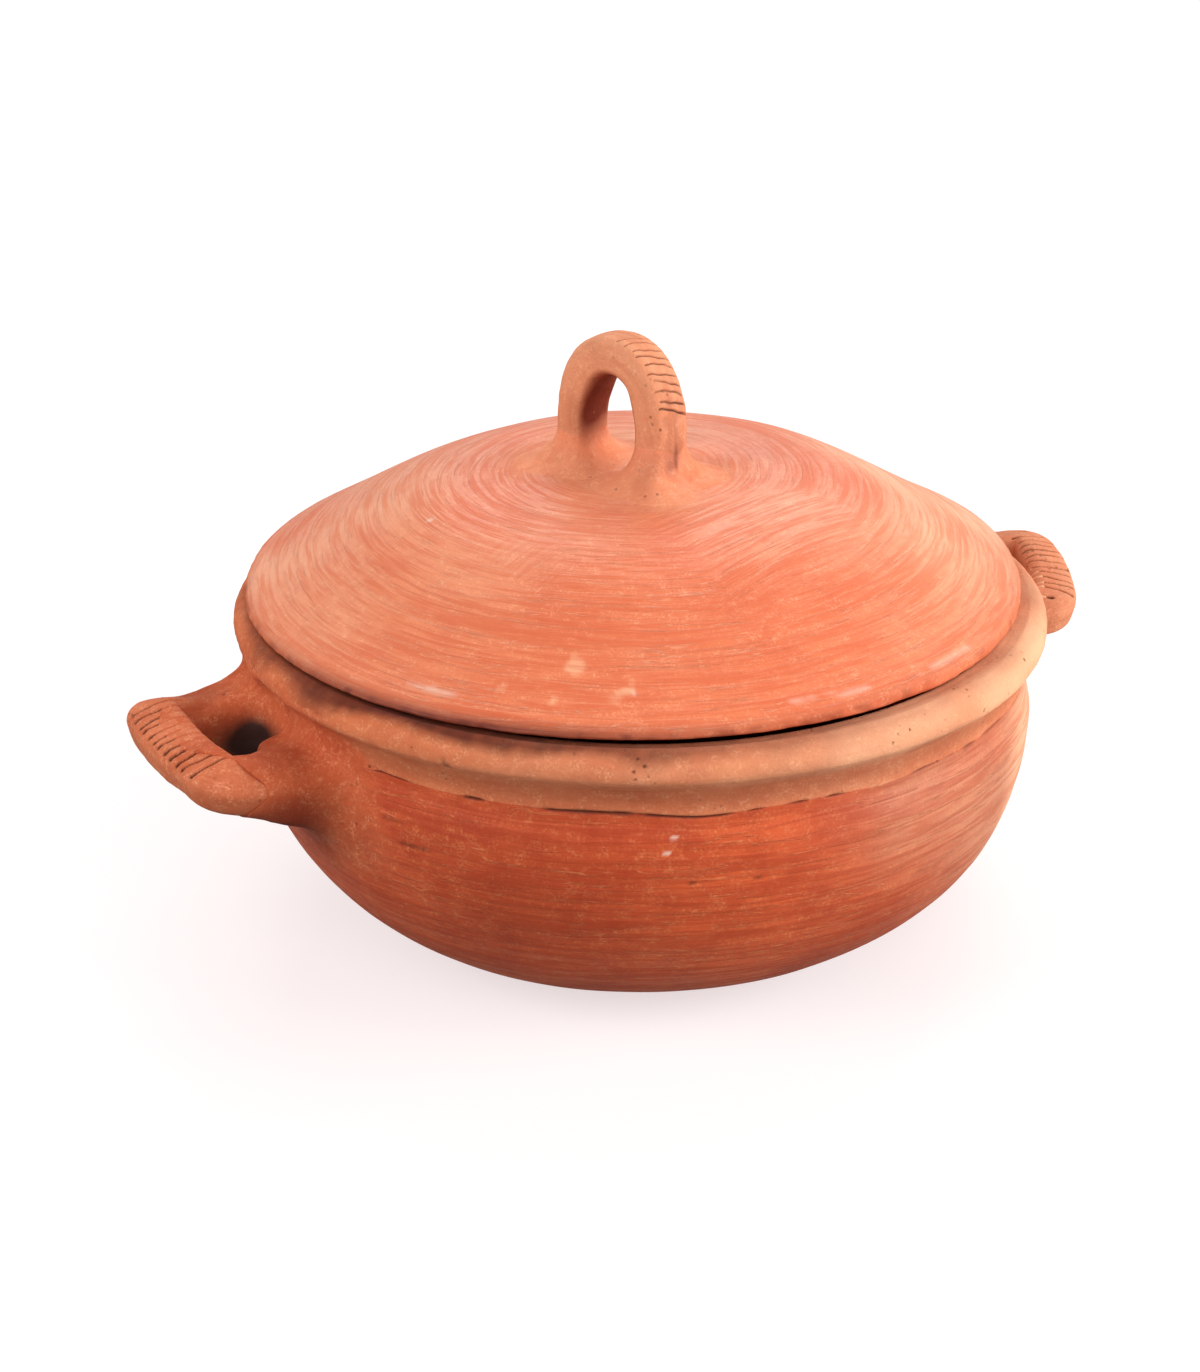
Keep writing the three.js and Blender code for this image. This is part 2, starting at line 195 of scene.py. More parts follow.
def spin(axis: Axis, degrees: float) -> Points:
    """Return the 3 by 3 matrix of a turn about one axis.

    Args:
        axis: The axis.
        degrees: How far the turn goes.

    Returns:
        The matrix.
    """
    c, s = math.cos(math.radians(degrees)), math.sin(math.radians(degrees))
    rows = {
        Axis.X: [[1, 0, 0], [0, c, -s], [0, s, c]],
        Axis.Y: [[c, 0, s], [0, 1, 0], [-s, 0, c]],
        Axis.Z: [[c, -s, 0], [s, c, 0], [0, 0, 1]],
    }
    return np.array(rows[axis], float)


class Lumps:
    """The unevenness of a hand-made surface: smooth waves through space."""

    def __init__(self, seed: int, size: float, waves: int = 18) -> None:
        """Choose the waves.

        Args:
            seed: Which unevenness.
            size: The typical size of a lump in millimetres.
            waves: How many waves are added up.
        """
        draw = np.random.default_rng(seed)
        way = draw.normal(size=(waves, 3))
        way /= np.linalg.norm(way, axis=1, keepdims=True)
        self.pace = way * (2 * math.pi / (size * draw.uniform(1.2, 3.2, (waves, 1))))
        self.phase = draw.uniform(0, 2 * math.pi, waves)
        self.scale = math.sqrt(2 / waves)

    def at(self, points: Points) -> Points:
        """Return the unevenness at each point, mostly between -1 and 1."""
        flat = points.reshape(-1, 3) @ self.pace.T + self.phase
        return (np.sin(flat).sum(1) * self.scale * 0.7).reshape(points.shape[:-1])


SOFT = Lumps(3, 46)
HAND = Lumps(5, 15)
GRIT = Lumps(7, 3.2, 26)


def without_loop(path: Points) -> Points:
    """Take out the loop that a path makes on the inner side of a tight bend.

    Args:
        path: The points of the path.

    Returns:
        The same path with its loop replaced by the point where it crosses itself.
    """
    start, way = path[:-1], np.diff(path, axis=0)
    turn = way[:, None, 0] * way[None, :, 1] - way[:, None, 1] * way[None, :, 0]
    gap = start[None] - start[:, None]
    with np.errstate(divide="ignore", invalid="ignore"):
        first = (gap[..., 0] * way[None, :, 1] - gap[..., 1] * way[None, :, 0]) / turn
        second = (gap[..., 0] * way[:, None, 1] - gap[..., 1] * way[:, None, 0]) / turn
    cross = (first > 0) & (first < 1) & (second > 0) & (second < 1)
    rows, columns = np.nonzero(np.triu(cross, 2))
    if not len(rows):
        return path
    widest = np.argmax(columns - rows)
    i, j = rows[widest], columns[widest]
    return np.vstack([path[: i + 1], start[i] + first[i, j] * way[i], path[j + 1:]])


def arc_length(path: Points) -> Points:
    """Return how far along a path each of its points is."""
    return np.concatenate([[0], np.cumsum(np.linalg.norm(np.diff(path, axis=0), axis=1))])


def headings(path: Points) -> Points:
    """Return the direction of a path at each of its points."""
    along = np.gradient(path, axis=0)
    return along / np.linalg.norm(along, axis=1, keepdims=True)


def left_of(along: Points) -> Points:
    """Return the directions a quarter turn to the left of the given ones."""
    return np.stack([-along[:, 1], along[:, 0]], -1)


def spread(path: Points, shares: Points) -> Points:
    """Resample a path at shares of its length."""
    length = arc_length(path)
    return np.stack([np.interp(shares * length[-1], length, path[:, k]) for k in range(path.shape[1])], -1)


class Side:
    """How far each place in a plane is off a line, positive on the left of the line."""

    def __init__(self, line: Points, low: Flat, high: Flat, cell: float = 0.3) -> None:
        """Tabulate the distances.

        Args:
            line: The points of the line, about half a millimetre apart.
            low: The lowest corner of the part of the plane that matters.
            high: Its highest corner.
            cell: The size of the table's cells.
        """
        left = left_of(headings(line))
        self.low, self.cell = np.array(low), cell
        rows = np.arange(low[0], high[0], cell)
        columns = np.arange(low[1], high[1], cell)
        self.table = np.empty((len(rows), len(columns)))
        for i, x in enumerate(rows):
            gap = np.stack(np.broadcast_arrays(x - line[None, :, 0], columns[:, None] - line[None, :, 1]), -1)
            near = np.argmin((gap**2).sum(-1), axis=1)
            picked = gap[np.arange(len(columns)), near]
            off = (picked * left[near]).sum(1)
            far = np.linalg.norm(picked, axis=1)
            self.table[i] = np.where(far < 4, off, np.copysign(far, off))

    def at(self, x: Points, y: Points) -> Points:
        """Return the distance at each place.

        Args:
            x: The places' first coordinates.
            y: Their second ones.

        Returns:
            The distances, interpolated in the table.
        """
        u = np.clip((x - self.low[0]) / self.cell, 0, self.table.shape[0] - 1.001)
        v = np.clip((y - self.low[1]) / self.cell, 0, self.table.shape[1] - 1.001)
        i, j = u.astype(int), v.astype(int)
        u, v = u - i, v - j
        low = (1 - u) * self.table[i, j] + u * self.table[i + 1, j]
        high = (1 - u) * self.table[i, j + 1] + u * self.table[i + 1, j + 1]
        return (1 - v) * low + v * high


def paced(line: Points, pace: Callable[[Points], Points]) -> Points:
    """Resample a profile so that the gaps between its points follow a pace.

    Args:
        line: The (radius, height) points.
        pace: The wanted gap at each height.

    Returns:
        The new points, with the same ends.
    """
    gap = np.linalg.norm(np.diff(line, axis=0), axis=1)
    worth = np.concatenate([[0], np.cumsum(gap / pace((line[1:, 1] + line[:-1, 1]) / 2))])
    at = np.linspace(0, worth[-1], int(worth[-1]) + 2)
    return np.stack([np.interp(at, worth, line[:, k]) for k in range(2)], -1)


def seam_pace(height: Points) -> Points:
    """Return finer gaps near the seam between the bowl and the rim, and near the lip."""
    return 1.25 - 0.93 * bump(height, NECK[1] - 1, 5.0) - 0.6 * bump(height, 117.5, 3.5)


@dataclass
class PotWall:
    """The pot's uneven outside, on the bowl and on the rim."""

    unevenness: float = 0.4
    side: Side = field(init=False)

    def __post_init__(self) -> None:
        """Tabulate the distances from the wall."""
        seat = np.stack([np.linspace(LIP[0] - 0.5, 136, 16), np.full(16, RIM_TOP)], -1)
        line = np.vstack([self.outline(), seat])
        self.side = Side(spread(line, np.linspace(0, 1, 520)), (108.0, 20.0), (200.0, 150.0))

    def outline(self) -> Points:
        """Return the outside as (radius, height) points from the rest up to the lip.

        Returns:
            The points.
        """
        pulls = [(BASE_RADIUS + BASE_PULL, 0), (BELLY[0], BELLY[1] - BELLY_PULL)]
        low = bezier([(BASE_RADIUS, 0), *pulls, BELLY], 200)
        high = bezier([BELLY, (BELLY[0], BELLY[1] + 8), (NECK[0], NECK[1] - 6), NECK], 60)
        return np.vstack([low, high[1:], self.rim()[1:]])

    def rim(self) -> Points:
        """Return the rim's outside as (radius, height) points, from the neck to the top.

        Returns:
            The points.
        """
        under = bezier([NECK, (NECK[0] - 0.3, NECK[1] + 7), (144.2, 113.0), (148.2, 116.2)], 60)
        corner = bezier([(148.2, 116.2), (149.7, 117.3), (150.0, 118.4), (150.0, 119.8)], 12)
        turn = np.radians(np.linspace(0, 90, 40))
        lip = np.stack([LIP[0] + LIP_ROLL[0] * np.cos(turn), LIP[1] + LIP_ROLL[1] * np.sin(turn)], -1)
        return np.vstack([under, corner[1:], lip[1:]])

    def swell(self, points: Points) -> Points:
        """Return how far the hand-made wall stands out of its even form.

        Args:
            points: Places near the wall.

        Returns:
            The distances in millimetres.
        """
        soft = SOFT.at(points * [1, 1, 1.4])
        around = around_of(points)
        fuller = 1.7 * sector(around, FULLER_SIDE, 0.5) * bump(points[..., 2], 42, 24)
        return self.unevenness * (soft - 0.3) + fuller

    def waver(self, around: Points, height: Points) -> Points:
        """Return how far the seam between the bowl and the rim runs up or down."""
        way = np.stack([np.cos(around) * NECK[0], np.sin(around) * NECK[0], np.zeros_like(around)], -1)
        return (0.7 * HAND.at(way * 0.6) + 0.5 * SOFT.at(way) - 1.2) * bump(height, NECK[1], 7.0)

    def distance(self, points: Points) -> Points:
        """Return how far outside the wall each point is."""
        reach = reach_of(points)
        return -self.side.at(reach, points[..., 2]) - self.swell(points)

    def even_distance(self, points: Points) -> Points:
        """Return the same without the unevenness."""
        return -self.side.at(reach_of(points), points[..., 2])


@dataclass(frozen=True)
class Dome:
    """The lid's uneven, leaning outside."""

    unevenness: float = 0.35

    def outline(self) -> Points:
        """Return the outside as (radius, height) points from the crown to the shoulder."""
        pull = (SHOULDER[0] - SHOULDER_PULL[0], SHOULDER[1] + SHOULDER_PULL[1])
        return bezier([(0, LID_TOP), (CROWN_PULL, LID_TOP), pull, SHOULDER], 110)

    def lean(self, points: Points) -> Points:
        """Return how far the lean lifts each point, on the lid's own axis."""
        return (points[..., 0] * LID_LEAN[0] + points[..., 1] * LID_LEAN[1]) / LID_RADIUS

    def height(self, points: Points) -> Points:
        """Return the dome's height under or over each point, in the pot's frame.

        Args:
            points: Places near the dome.

        Returns:
            The heights in millimetres.
        """
        own = points - [LID_OFFSET[0], LID_OFFSET[1], 0]
        line = self.outline()
        even = np.interp(reach_of(own), line[:, 0], line[:, 1])
        flat = np.stack([points[..., 0], points[..., 1], np.full_like(even, LID_SLICE)], -1)
        return even + self.lean(own) + self.unevenness * (SOFT.at(flat) - 0.4)

    def distance(self, points: Points) -> Points:
        """Return how far above the dome each point is."""
        return points[..., 2] - self.height(points)

    def even_distance(self, points: Points) -> Points:
        """Return the same, as near as the first search for the surface needs it."""
        return self.distance(points)


@dataclass
class Bent:
    """A strap bent into a U: its middle line and its section, in its own frame."""

    half_span: float
    buried: float
    leg_end: float
    leg_pull: float
    tip_pull: float
    reach: float
    in_plane: float
    across: float
    bevel: float
    seed: float
    # How strong the painted shade inside the bend is, whether it keeps below the upper face, and where along
    # the strap it starts.
    shadiness: float = 0.5
    shaded_below: bool = True
    squareness: float = 3.4
    shade_from: float = -0.5
    side: Side = field(init=False)

    def __post_init__(self) -> None:
        """Tabulate how far off the middle line each place in the strap's plane is."""
        line, _ = self.line(0.5)
        wide = self.half_span + 40
        self.side = Side(line, (-self.buried - 4, -wide), (self.reach + 30, wide))

    def half(self) -> Points:
        """Return the middle line from one root to the middle of the tip.

        Returns:
            Its points in the strap's plane.
        """
        turn = [
            (self.leg_end, -self.half_span),
            (self.leg_pull, -self.half_span),
            (self.reach, -self.tip_pull),
            (self.reach, 0.0),
        ]
        return np.vstack([np.array([[-self.buried, -self.half_span]]), bezier(turn, 160)])

    def line(self, spacing: float) -> tuple[Points, Points]:
        """Sample the middle line at an even spacing.

        Args:
            spacing: The distance between samples in millimetres.

        Returns:
            The points in the strap's plane, and the directions along it.
        """
        half = self.half()
        whole = np.vstack([half, (half * [1, -1])[::-1][1:]])
        total = np.linalg.norm(np.diff(whole, axis=0), axis=1).sum()
        points = spread(whole, np.linspace(0, 1, int(total / spacing) + 1))
        return points, headings(points)

    def section(self, count: int) -> Points:
        """Return the section's evenly spaced points as (down, inward) distances.

        Args:
            count: How many points there are.

        Returns:
            The points.
        """
        power = 2 / self.squareness
        angle = np.linspace(0, 2 * math.pi, 1201)
        down = self.across / 2 * np.sign(np.cos(angle)) * np.abs(np.cos(angle)) ** power
        inward = self.in_plane / 2 * np.sign(np.sin(angle)) * np.abs(np.sin(angle)) ** power
        c, s = math.cos(math.radians(self.bevel)), math.sin(math.radians(self.bevel))
        turned = np.stack([down * c - inward * s, down * s + inward * c], -1)
        return spread(turned, np.arange(count) / count)

    def grid(self, count: int, shares: Points) -> Points:
        """Return the swept skin's points, by station and then round the section.

        Args:
            count: How many points the section has.
            shares: Where the stations are on the first half of the length.

        Returns:
            The points in the strap's own frame.
        """
        half = spread(self.half(), np.linspace(0, 1, 220))
        inward = left_of(headings(half))
        paths = []
        for down, off in self.section(count):
            path = spread(without_loop(half + inward * off), shares)
            both = np.vstack([path, (path * [1, -1])[::-1][1:]])
            paths.append(np.column_stack([both, np.full(len(both), -down)]))
        return np.stack(paths, axis=1)

    def bend_shade(self, local: Points) -> Points:
        """Return how much painted shade each point gets: most inside the bend, below the upper face.

        Args:
            local: Points in the strap's frame.

        Returns:
            Values from 0 to 1.
        """
        inside = np.clip(self.side.at(local[:, 0], local[:, 1]) / (self.in_plane / 2) - 0.5, 0, 0.4) / 0.4
        inside = inside * unit((local[:, 0] / self.reach - self.shade_from) / 0.3)
        below = unit((self.across * 0.42 - local[:, 2]) / 6) if self.shaded_below else 1.0
        return unit(self.shadiness * inside * below + 0.08 * HAND.at(local * 0.8))

    def uneven(self, local: Points) -> Points:
        """Return how far the hand-made strap stands out of its even form."""
        own = local + [self.seed, 0, 0]
        return 0.34 * HAND.at(own) + 0.14 * HAND.at(own * 2.3) + 0.06 * GRIT.at(own)

    def distance(self, local: Points) -> Points:
        """Return how far outside the strap each point of its frame is."""
        return self.even_distance(local) - self.uneven(local)

    def even_distance(self, local: Points) -> Points:
        """Return the same without the unevenness.

        Args:
            local: Points in the strap's frame.

        Returns:
            The distances in millimetres.
        """
        off = self.side.at(local[..., 0], local[..., 1])
        c, s = math.cos(math.radians(self.bevel)), math.sin(math.radians(self.bevel))
        down = -local[..., 2] * c + off * s
        inward = local[..., 2] * s + off * c
        size = (np.abs(down / (self.across / 2)) ** self.squareness
                + np.abs(inward / (self.in_plane / 2)) ** self.squareness) ** (1 / self.squareness)
        reach = np.hypot(down, inward) + 1e-6
        return reach * (1 - 1 / np.maximum(size, 1e-3)) + 0.6


@dataclass(frozen=True)
class Place:
    """Where a strap's own frame stands in the pot's frame."""

    turn: Points
    origin: Points

    def out(self, points: Points) -> Points:
        """Take points from the strap's frame to the pot's."""
        return points @ self.turn.T + self.origin

    def back(self, points: Points) -> Points:
        """Take points from the pot's frame to the strap's."""
        return (points - self.origin) @ self.turn


def melt(first: Points, second: Points, radius: Points | float) -> Points:
    """Join two distances as wet clay joins, with a fillet of about the given radius."""
    share = unit(1 - np.abs(first - second) / radius)
    return np.minimum(first, second) - share**2 * radius / 4


def follow(clay: Callable[[Points, bool], Points], low: Points, high: Points,
           cell: float) -> tuple[Points, Faces]:
    """Mesh the surface on which a distance is zero.

    Args:
        clay: The distance, negative inside, with or without its fine unevenness.
        low: The lowest corner of the box that holds the surface.
        high: Its highest corner.
        cell: The size of a mesh cell.

    Returns:
        The vertices and the four-sided faces.
    """
    axes = [np.arange(a, b + cell, cell) for a, b in zip(low, high)]
    spots = np.stack(np.meshgrid(*axes, indexing="ij"), -1)
    value = clay(spots, False)
    near = np.abs(value) < 3
    value[near] = clay(spots[near], True)
    for axis in range(3):
        edge = [slice(None)] * 3
        for end in (0, -1):
            edge[axis] = end
            value[tuple(edge)] = np.maximum(value[tuple(edge)], 0.5)
    cells = tuple(n - 1 for n in value.shape)
    total, hits = np.zeros(cells + (3,)), np.zeros(cells, int)
    edges = []
    for axis in range(3):
        lower, upper = [slice(None)] * 3, [slice(None)] * 3
        lower[axis], upper[axis] = slice(0, -1), slice(1, None)
        a, b = value[tuple(lower)], value[tuple(upper)]
        cross = (a < 0) != (b < 0)
        place = spots[tuple(lower)].copy()
        place[..., axis] += np.where(cross, a / np.where(cross, a - b, 1), 0) * cell
        edges.append((cross, a < 0))
        others = [k for k in range(3) if k != axis]
        for shift in ((0, 0), (0, 1), (1, 0), (1, 1)):
            part = [slice(None)] * 3
            for k, s in zip(others, shift):
                part[k] = slice(s, s + cells[k])
            total += np.where(cross[tuple(part)][..., None], place[tuple(part)], 0)
            hits += cross[tuple(part)]
    number = np.full(cells, -1)
    active = hits > 0
    number[active] = np.arange(active.sum())
    points = total[active] / hits[active][:, None]
    faces = []
    for axis, (cross, inside) in enumerate(edges):
        u, v = (axis + 1) % 3, (axis + 2) % 3
        inner = [slice(None)] * 3
        inner[u], inner[v] = slice(1, -1), slice(1, -1)
        at = np.argwhere(cross[tuple(inner)])
        at[:, u] += 1
        at[:, v] += 1
        way = inside[tuple(at.T)]
        quad = []
        for du, dv in ((-1, -1), (0, -1), (0, 0), (-1, 0)):
            corner = at.copy()
            corner[:, u] += du
            corner[:, v] += dv
            quad.append(number[tuple(corner.T)])
        quad = np.stack(quad, -1)
        faces.append(np.where(way[:, None], quad, quad[:, ::-1]))
    for _ in range(2):
        here = clay(points, True)
        slope = np.stack([(clay(points + step, True) - here) / 0.05 for step in np.eye(3) * 0.05], -1)
        move = -here[:, None] * slope / np.maximum((slope**2).sum(1, keepdims=True), 0.2)
        points = points + np.clip(move, -cell / 2, cell / 2)
    return points, np.vstack(faces).tolist()


class Graph:
    """Adds nodes to one shader tree and joins them."""

    def __init__(self, tree: bpy.types.NodeTree) -> None:
        """Keep the tree."""
        self.tree = tree

    def add(self, kind: str, **settings: object) -> Node:
        """Add a node and set its plain settings.

        Args:
            kind: The type of node.
            settings: The settings by name.

        Returns:
            The node.
        """
        node = self.tree.nodes.new(kind)
        for name, value in settings.items():
            setattr(node, name, value)
        return node

    def feed(self, socket: Socket, value: object) -> None:
        """Join a socket to another one, or set its value.

        Args:
            socket: The socket that is fed.
            value: Another node's socket, or a plain value.
        """
        if isinstance(value, Socket):
            self.tree.links.new(value, socket)
        else:
            socket.default_value = value

    def math(self, operation: str, first: object, second: object = 0.5, clamp: bool = False) -> Socket:
        """Add a sum, a product or another plain calculation.

        Args:
            operation: Which calculation.
            first: The first value.
            second: The second one.
            clamp: Whether the result stays between 0 and 1.

        Returns:
            Its result.
        """
        node = self.add("ShaderNodeMath", operation=operation, use_clamp=clamp)
        self.feed(node.inputs[0], first)
        self.feed(node.inputs[1], second)
        return node.outputs[0]

    def times(self, *values: object) -> Socket:
        """Multiply values, one after another."""
        return reduce(lambda product, value: self.math("MULTIPLY", product, value), values)

    def plus(self, *values: object) -> Socket:
        """Add values up, one after another."""
        return reduce(lambda total, value: self.math("ADD", total, value), values)

    def minus(self, first: object, second: object) -> Socket:
        """Take one value from another."""
        return self.math("SUBTRACT", first, second)

    def span(self, value: object, low: float, high: float, to_low: float = 0.0,
             to_high: float = 1.0) -> Socket:
        """Stretch a range of values smoothly onto another range.

        Args:
            value: The value.
            low: Where its range starts.
            high: Where its range ends.
            to_low: Where the new range starts.
            to_high: Where the new range ends.

        Returns:
            The stretched value.
        """
        node = self.add("ShaderNodeMapRange", interpolation_type="SMOOTHSTEP")
        names = ("Value", "From Min", "From Max", "To Min", "To Max")
        for name, part in zip(names, (value, low, high, to_low, to_high)):
            self.feed(node.inputs[name], part)
        return node.outputs["Result"]

    def blend(self, share: object, first: object, second: object) -> Socket:
        """Mix two colours.

        Args:
            share: How much of the second shows.
            first: The first colour.
            second: The second one.

        Returns:
            The mixed colour.
        """
        node = self.add("ShaderNodeMix", data_type="RGBA")
        self.feed(node.inputs[0], share)
        self.feed(node.inputs[6], first)
        self.feed(node.inputs[7], second)
        return node.outputs[2]

    def noise(self, where: object, scale: object, detail: float = 3.0, roughness: float = 0.55) -> Socket:
        """Add a cloudy noise.

        Args:
            where: Where it is read.
            scale: How fine it is.
            detail: How many finer layers it has.
            roughness: How strong these are.

        Returns:
            Its value.
        """
        node = self.add("ShaderNodeTexNoise")
        self.feed(node.inputs["Vector"], where)
        self.feed(node.inputs["Scale"], scale)
        node.inputs["Detail"].default_value = detail
        node.inputs["Roughness"].default_value = roughness
        return node.outputs["Fac"]

    def attribute(self, name: str) -> Node:
        """Read a value that the mesh carries."""
        return self.add("ShaderNodeAttribute", attribute_name=name)


class Effects:
    """The effects that all the clay finishes share, each a group of shader nodes."""

    def __init__(self) -> None:
        """Build the groups once."""
        tones = {"Base": "Color", "Deep": "Color", "Light": "Color"}
        self.mottle = self._group(
            "clay_mottle", {"Vector": "Vector", **tones, "Amount": "Float"}, {"Color": "Color"}, self._mottle,
        )
        self.strokes = self._group(
            "burnish_strokes", {"Grain": "Vector", "Warp": "Float"},
            {"Streak": "Float", "Facet": "Float", "Ridge": "Float"}, self._strokes,
        )
        self.pits = self._group(
            "pits_and_grit", {"Vector": "Vector", "Amount": "Float"},
            {"Pit": "Float", "Speck": "Float", "Relief": "Float"}, self._pits,
        )

    def _group(self, name: str, inputs: dict[str, str], outputs: dict[str, str],
               fill: Callable[[Graph, Node, Node], None]) -> bpy.types.NodeTree:
        """Make a node group with named sockets and fill it.

        Args:
            name: Its name.
            inputs: The kinds of its inputs by name.
            outputs: The kinds of its outputs by name.
            fill: Adds what is inside.

        Returns:
            The group.
        """
        tree = bpy.data.node_groups.new(name, "ShaderNodeTree")
        for in_out, sockets in (("INPUT", inputs), ("OUTPUT", outputs)):
            for socket, kind in sockets.items():
                tree.interface.new_socket(name=socket, in_out=in_out, socket_type=f"NodeSocket{kind}")
        graph = Graph(tree)
        fill(graph, graph.add("NodeGroupInput"), graph.add("NodeGroupOutput"))
        return tree

    def _mottle(self, graph: Graph, given: Node, result: Node) -> None:
        """Fill the group that varies the clay's colour in clouds, blotches and fine grains.

        Args:
            graph: Adds the nodes.
            given: The group's inputs.
            result: Its outputs.
        """
        where, amount = given.outputs["Vector"], given.outputs["Amount"]
        cloud = graph.span(graph.noise(where, 13.0, 3.0), 0.38, 0.66)
        blotch = graph.span(graph.noise(where, 60.0, 4.0, 0.62), 0.42, 0.68)
        fine = graph.span(graph.noise(where, 260.0, 4.0, 0.7), 0.42, 0.72)
        grain = graph.span(graph.noise(where, 1100.0, 2.0, 0.5), 0.35, 0.7)
        both = graph.plus(graph.times(cloud, 0.55), graph.times(blotch, 0.5))
        deep = graph.math("MULTIPLY", both, amount, clamp=True)
        color = graph.blend(deep, given.outputs["Base"], given.outputs["Deep"])
        light = graph.times(fine, grain, amount)
        color = graph.blend(light, color, given.outputs["Light"])
        dark = graph.times(graph.minus(1.0, grain), graph.times(amount, 0.22))
        graph.feed(result.inputs["Color"], graph.blend(dark, color, given.outputs["Deep"]))

    def _strokes(self, graph: Graph, given: Node, result: Node) -> None:
        """Fill the group that draws the strokes of the burnishing stone along the mesh's grain.

        Args:
            graph: Adds the nodes.
            given: The group's inputs.
            result: Its outputs.
        """
        grain = given.outputs["Grain"]
        sway = graph.times(graph.minus(graph.noise(grain, 0.45, 2.0), 0.5), given.outputs["Warp"])
        shift = graph.add("ShaderNodeCombineXYZ")
        graph.feed(shift.inputs["Z"], sway)
        moved = graph.add("ShaderNodeVectorMath", operation="ADD")
        graph.feed(moved.inputs[0], grain)
        graph.feed(moved.inputs[1], shift.outputs["Vector"])
        path = moved.outputs["Vector"]
        thin = graph.noise(path, 1.0, 2.0, 0.5)
        fine = graph.noise(path, 2.3, 2.0, 0.6)
        wide = graph.noise(path, 0.22, 1.5, 0.5)
        both = graph.plus(graph.times(thin, 0.5), graph.times(fine, 0.22))
        both = graph.plus(both, graph.times(wide, 0.28))
        graph.feed(result.inputs["Streak"], graph.span(both, 0.4, 0.62))
        graph.feed(result.inputs["Facet"], graph.plus(graph.times(wide, 0.6), graph.times(thin, 0.4)))
        fold = graph.math("ABSOLUTE", graph.minus(graph.times(thin, 2.0), 1.0))
        crest = graph.span(fold, 0.035, 0.0)
        gate = graph.span(graph.noise(path, 0.6, 1.0), 0.48, 0.6)
        graph.feed(result.inputs["Ridge"], graph.times(crest, gate))

    def _pits(self, graph: Graph, given: Node, result: Node) -> None:
        """Fill the group that scatters pits, pale specks and grains of sand.

        Args:
            graph: Adds the nodes.
            given: The group's inputs.
            result: Its outputs.
        """
        where, amount = given.outputs["Vector"], given.outputs["Amount"]
        kinds = (("Pit", 300.0, 0.55, 0.68, 0.26), ("Speck", 480.0, 0.6, 0.68, 0.24))
        for name, scale, low, high, reach in kinds:
            cells = graph.add("ShaderNodeTexVoronoi", feature="F1")
            graph.feed(cells.inputs["Vector"], where)
            cells.inputs["Scale"].default_value = scale
            gate = graph.span(graph.noise(where, scale * 0.31, 2.0), low, high)
            ragged = graph.times(graph.minus(graph.noise(where, scale * 4, 2.0), 0.5), 0.3)
            near = graph.span(graph.plus(cells.outputs["Distance"], ragged), reach, reach * 0.3)
            shown = graph.math("MULTIPLY", graph.times(near, gate), amount, clamp=True)
            graph.feed(result.inputs[name], shown)
        grit = graph.noise(where, 1300.0, 2.0, 0.6)
        coarse = graph.noise(where, 380.0, 3.0, 0.6)
        relief = graph.plus(graph.times(grit, 0.35), graph.times(coarse, 0.65))
        graph.feed(result.inputs["Relief"], relief)


@dataclass(frozen=True)
class Tones:
    """The three colours that a clay surface varies between."""

    base: Color
    deep: Color
    light: Color


SMEARED_TONES = Tones(srgb(210, 106, 65), srgb(168, 66, 38), srgb(232, 150, 106))
# Soot, and painted shade.
SOOT_AND_SHADE = srgb(112, 40, 20)
# Pale clay, and painted light.
TAN_AND_LIGHT = srgb(250, 194, 154)
# Salt flecks, and painted highlights.
SALT_AND_SHEEN = srgb(246, 226, 210)
PIT_DARK = srgb(88, 36, 20)
# Cracks and pits, and painted shade in deep hollows, in cuts and under the lid's edge.
CRACK_AND_SHADE_DARK = srgb(46, 18, 10)


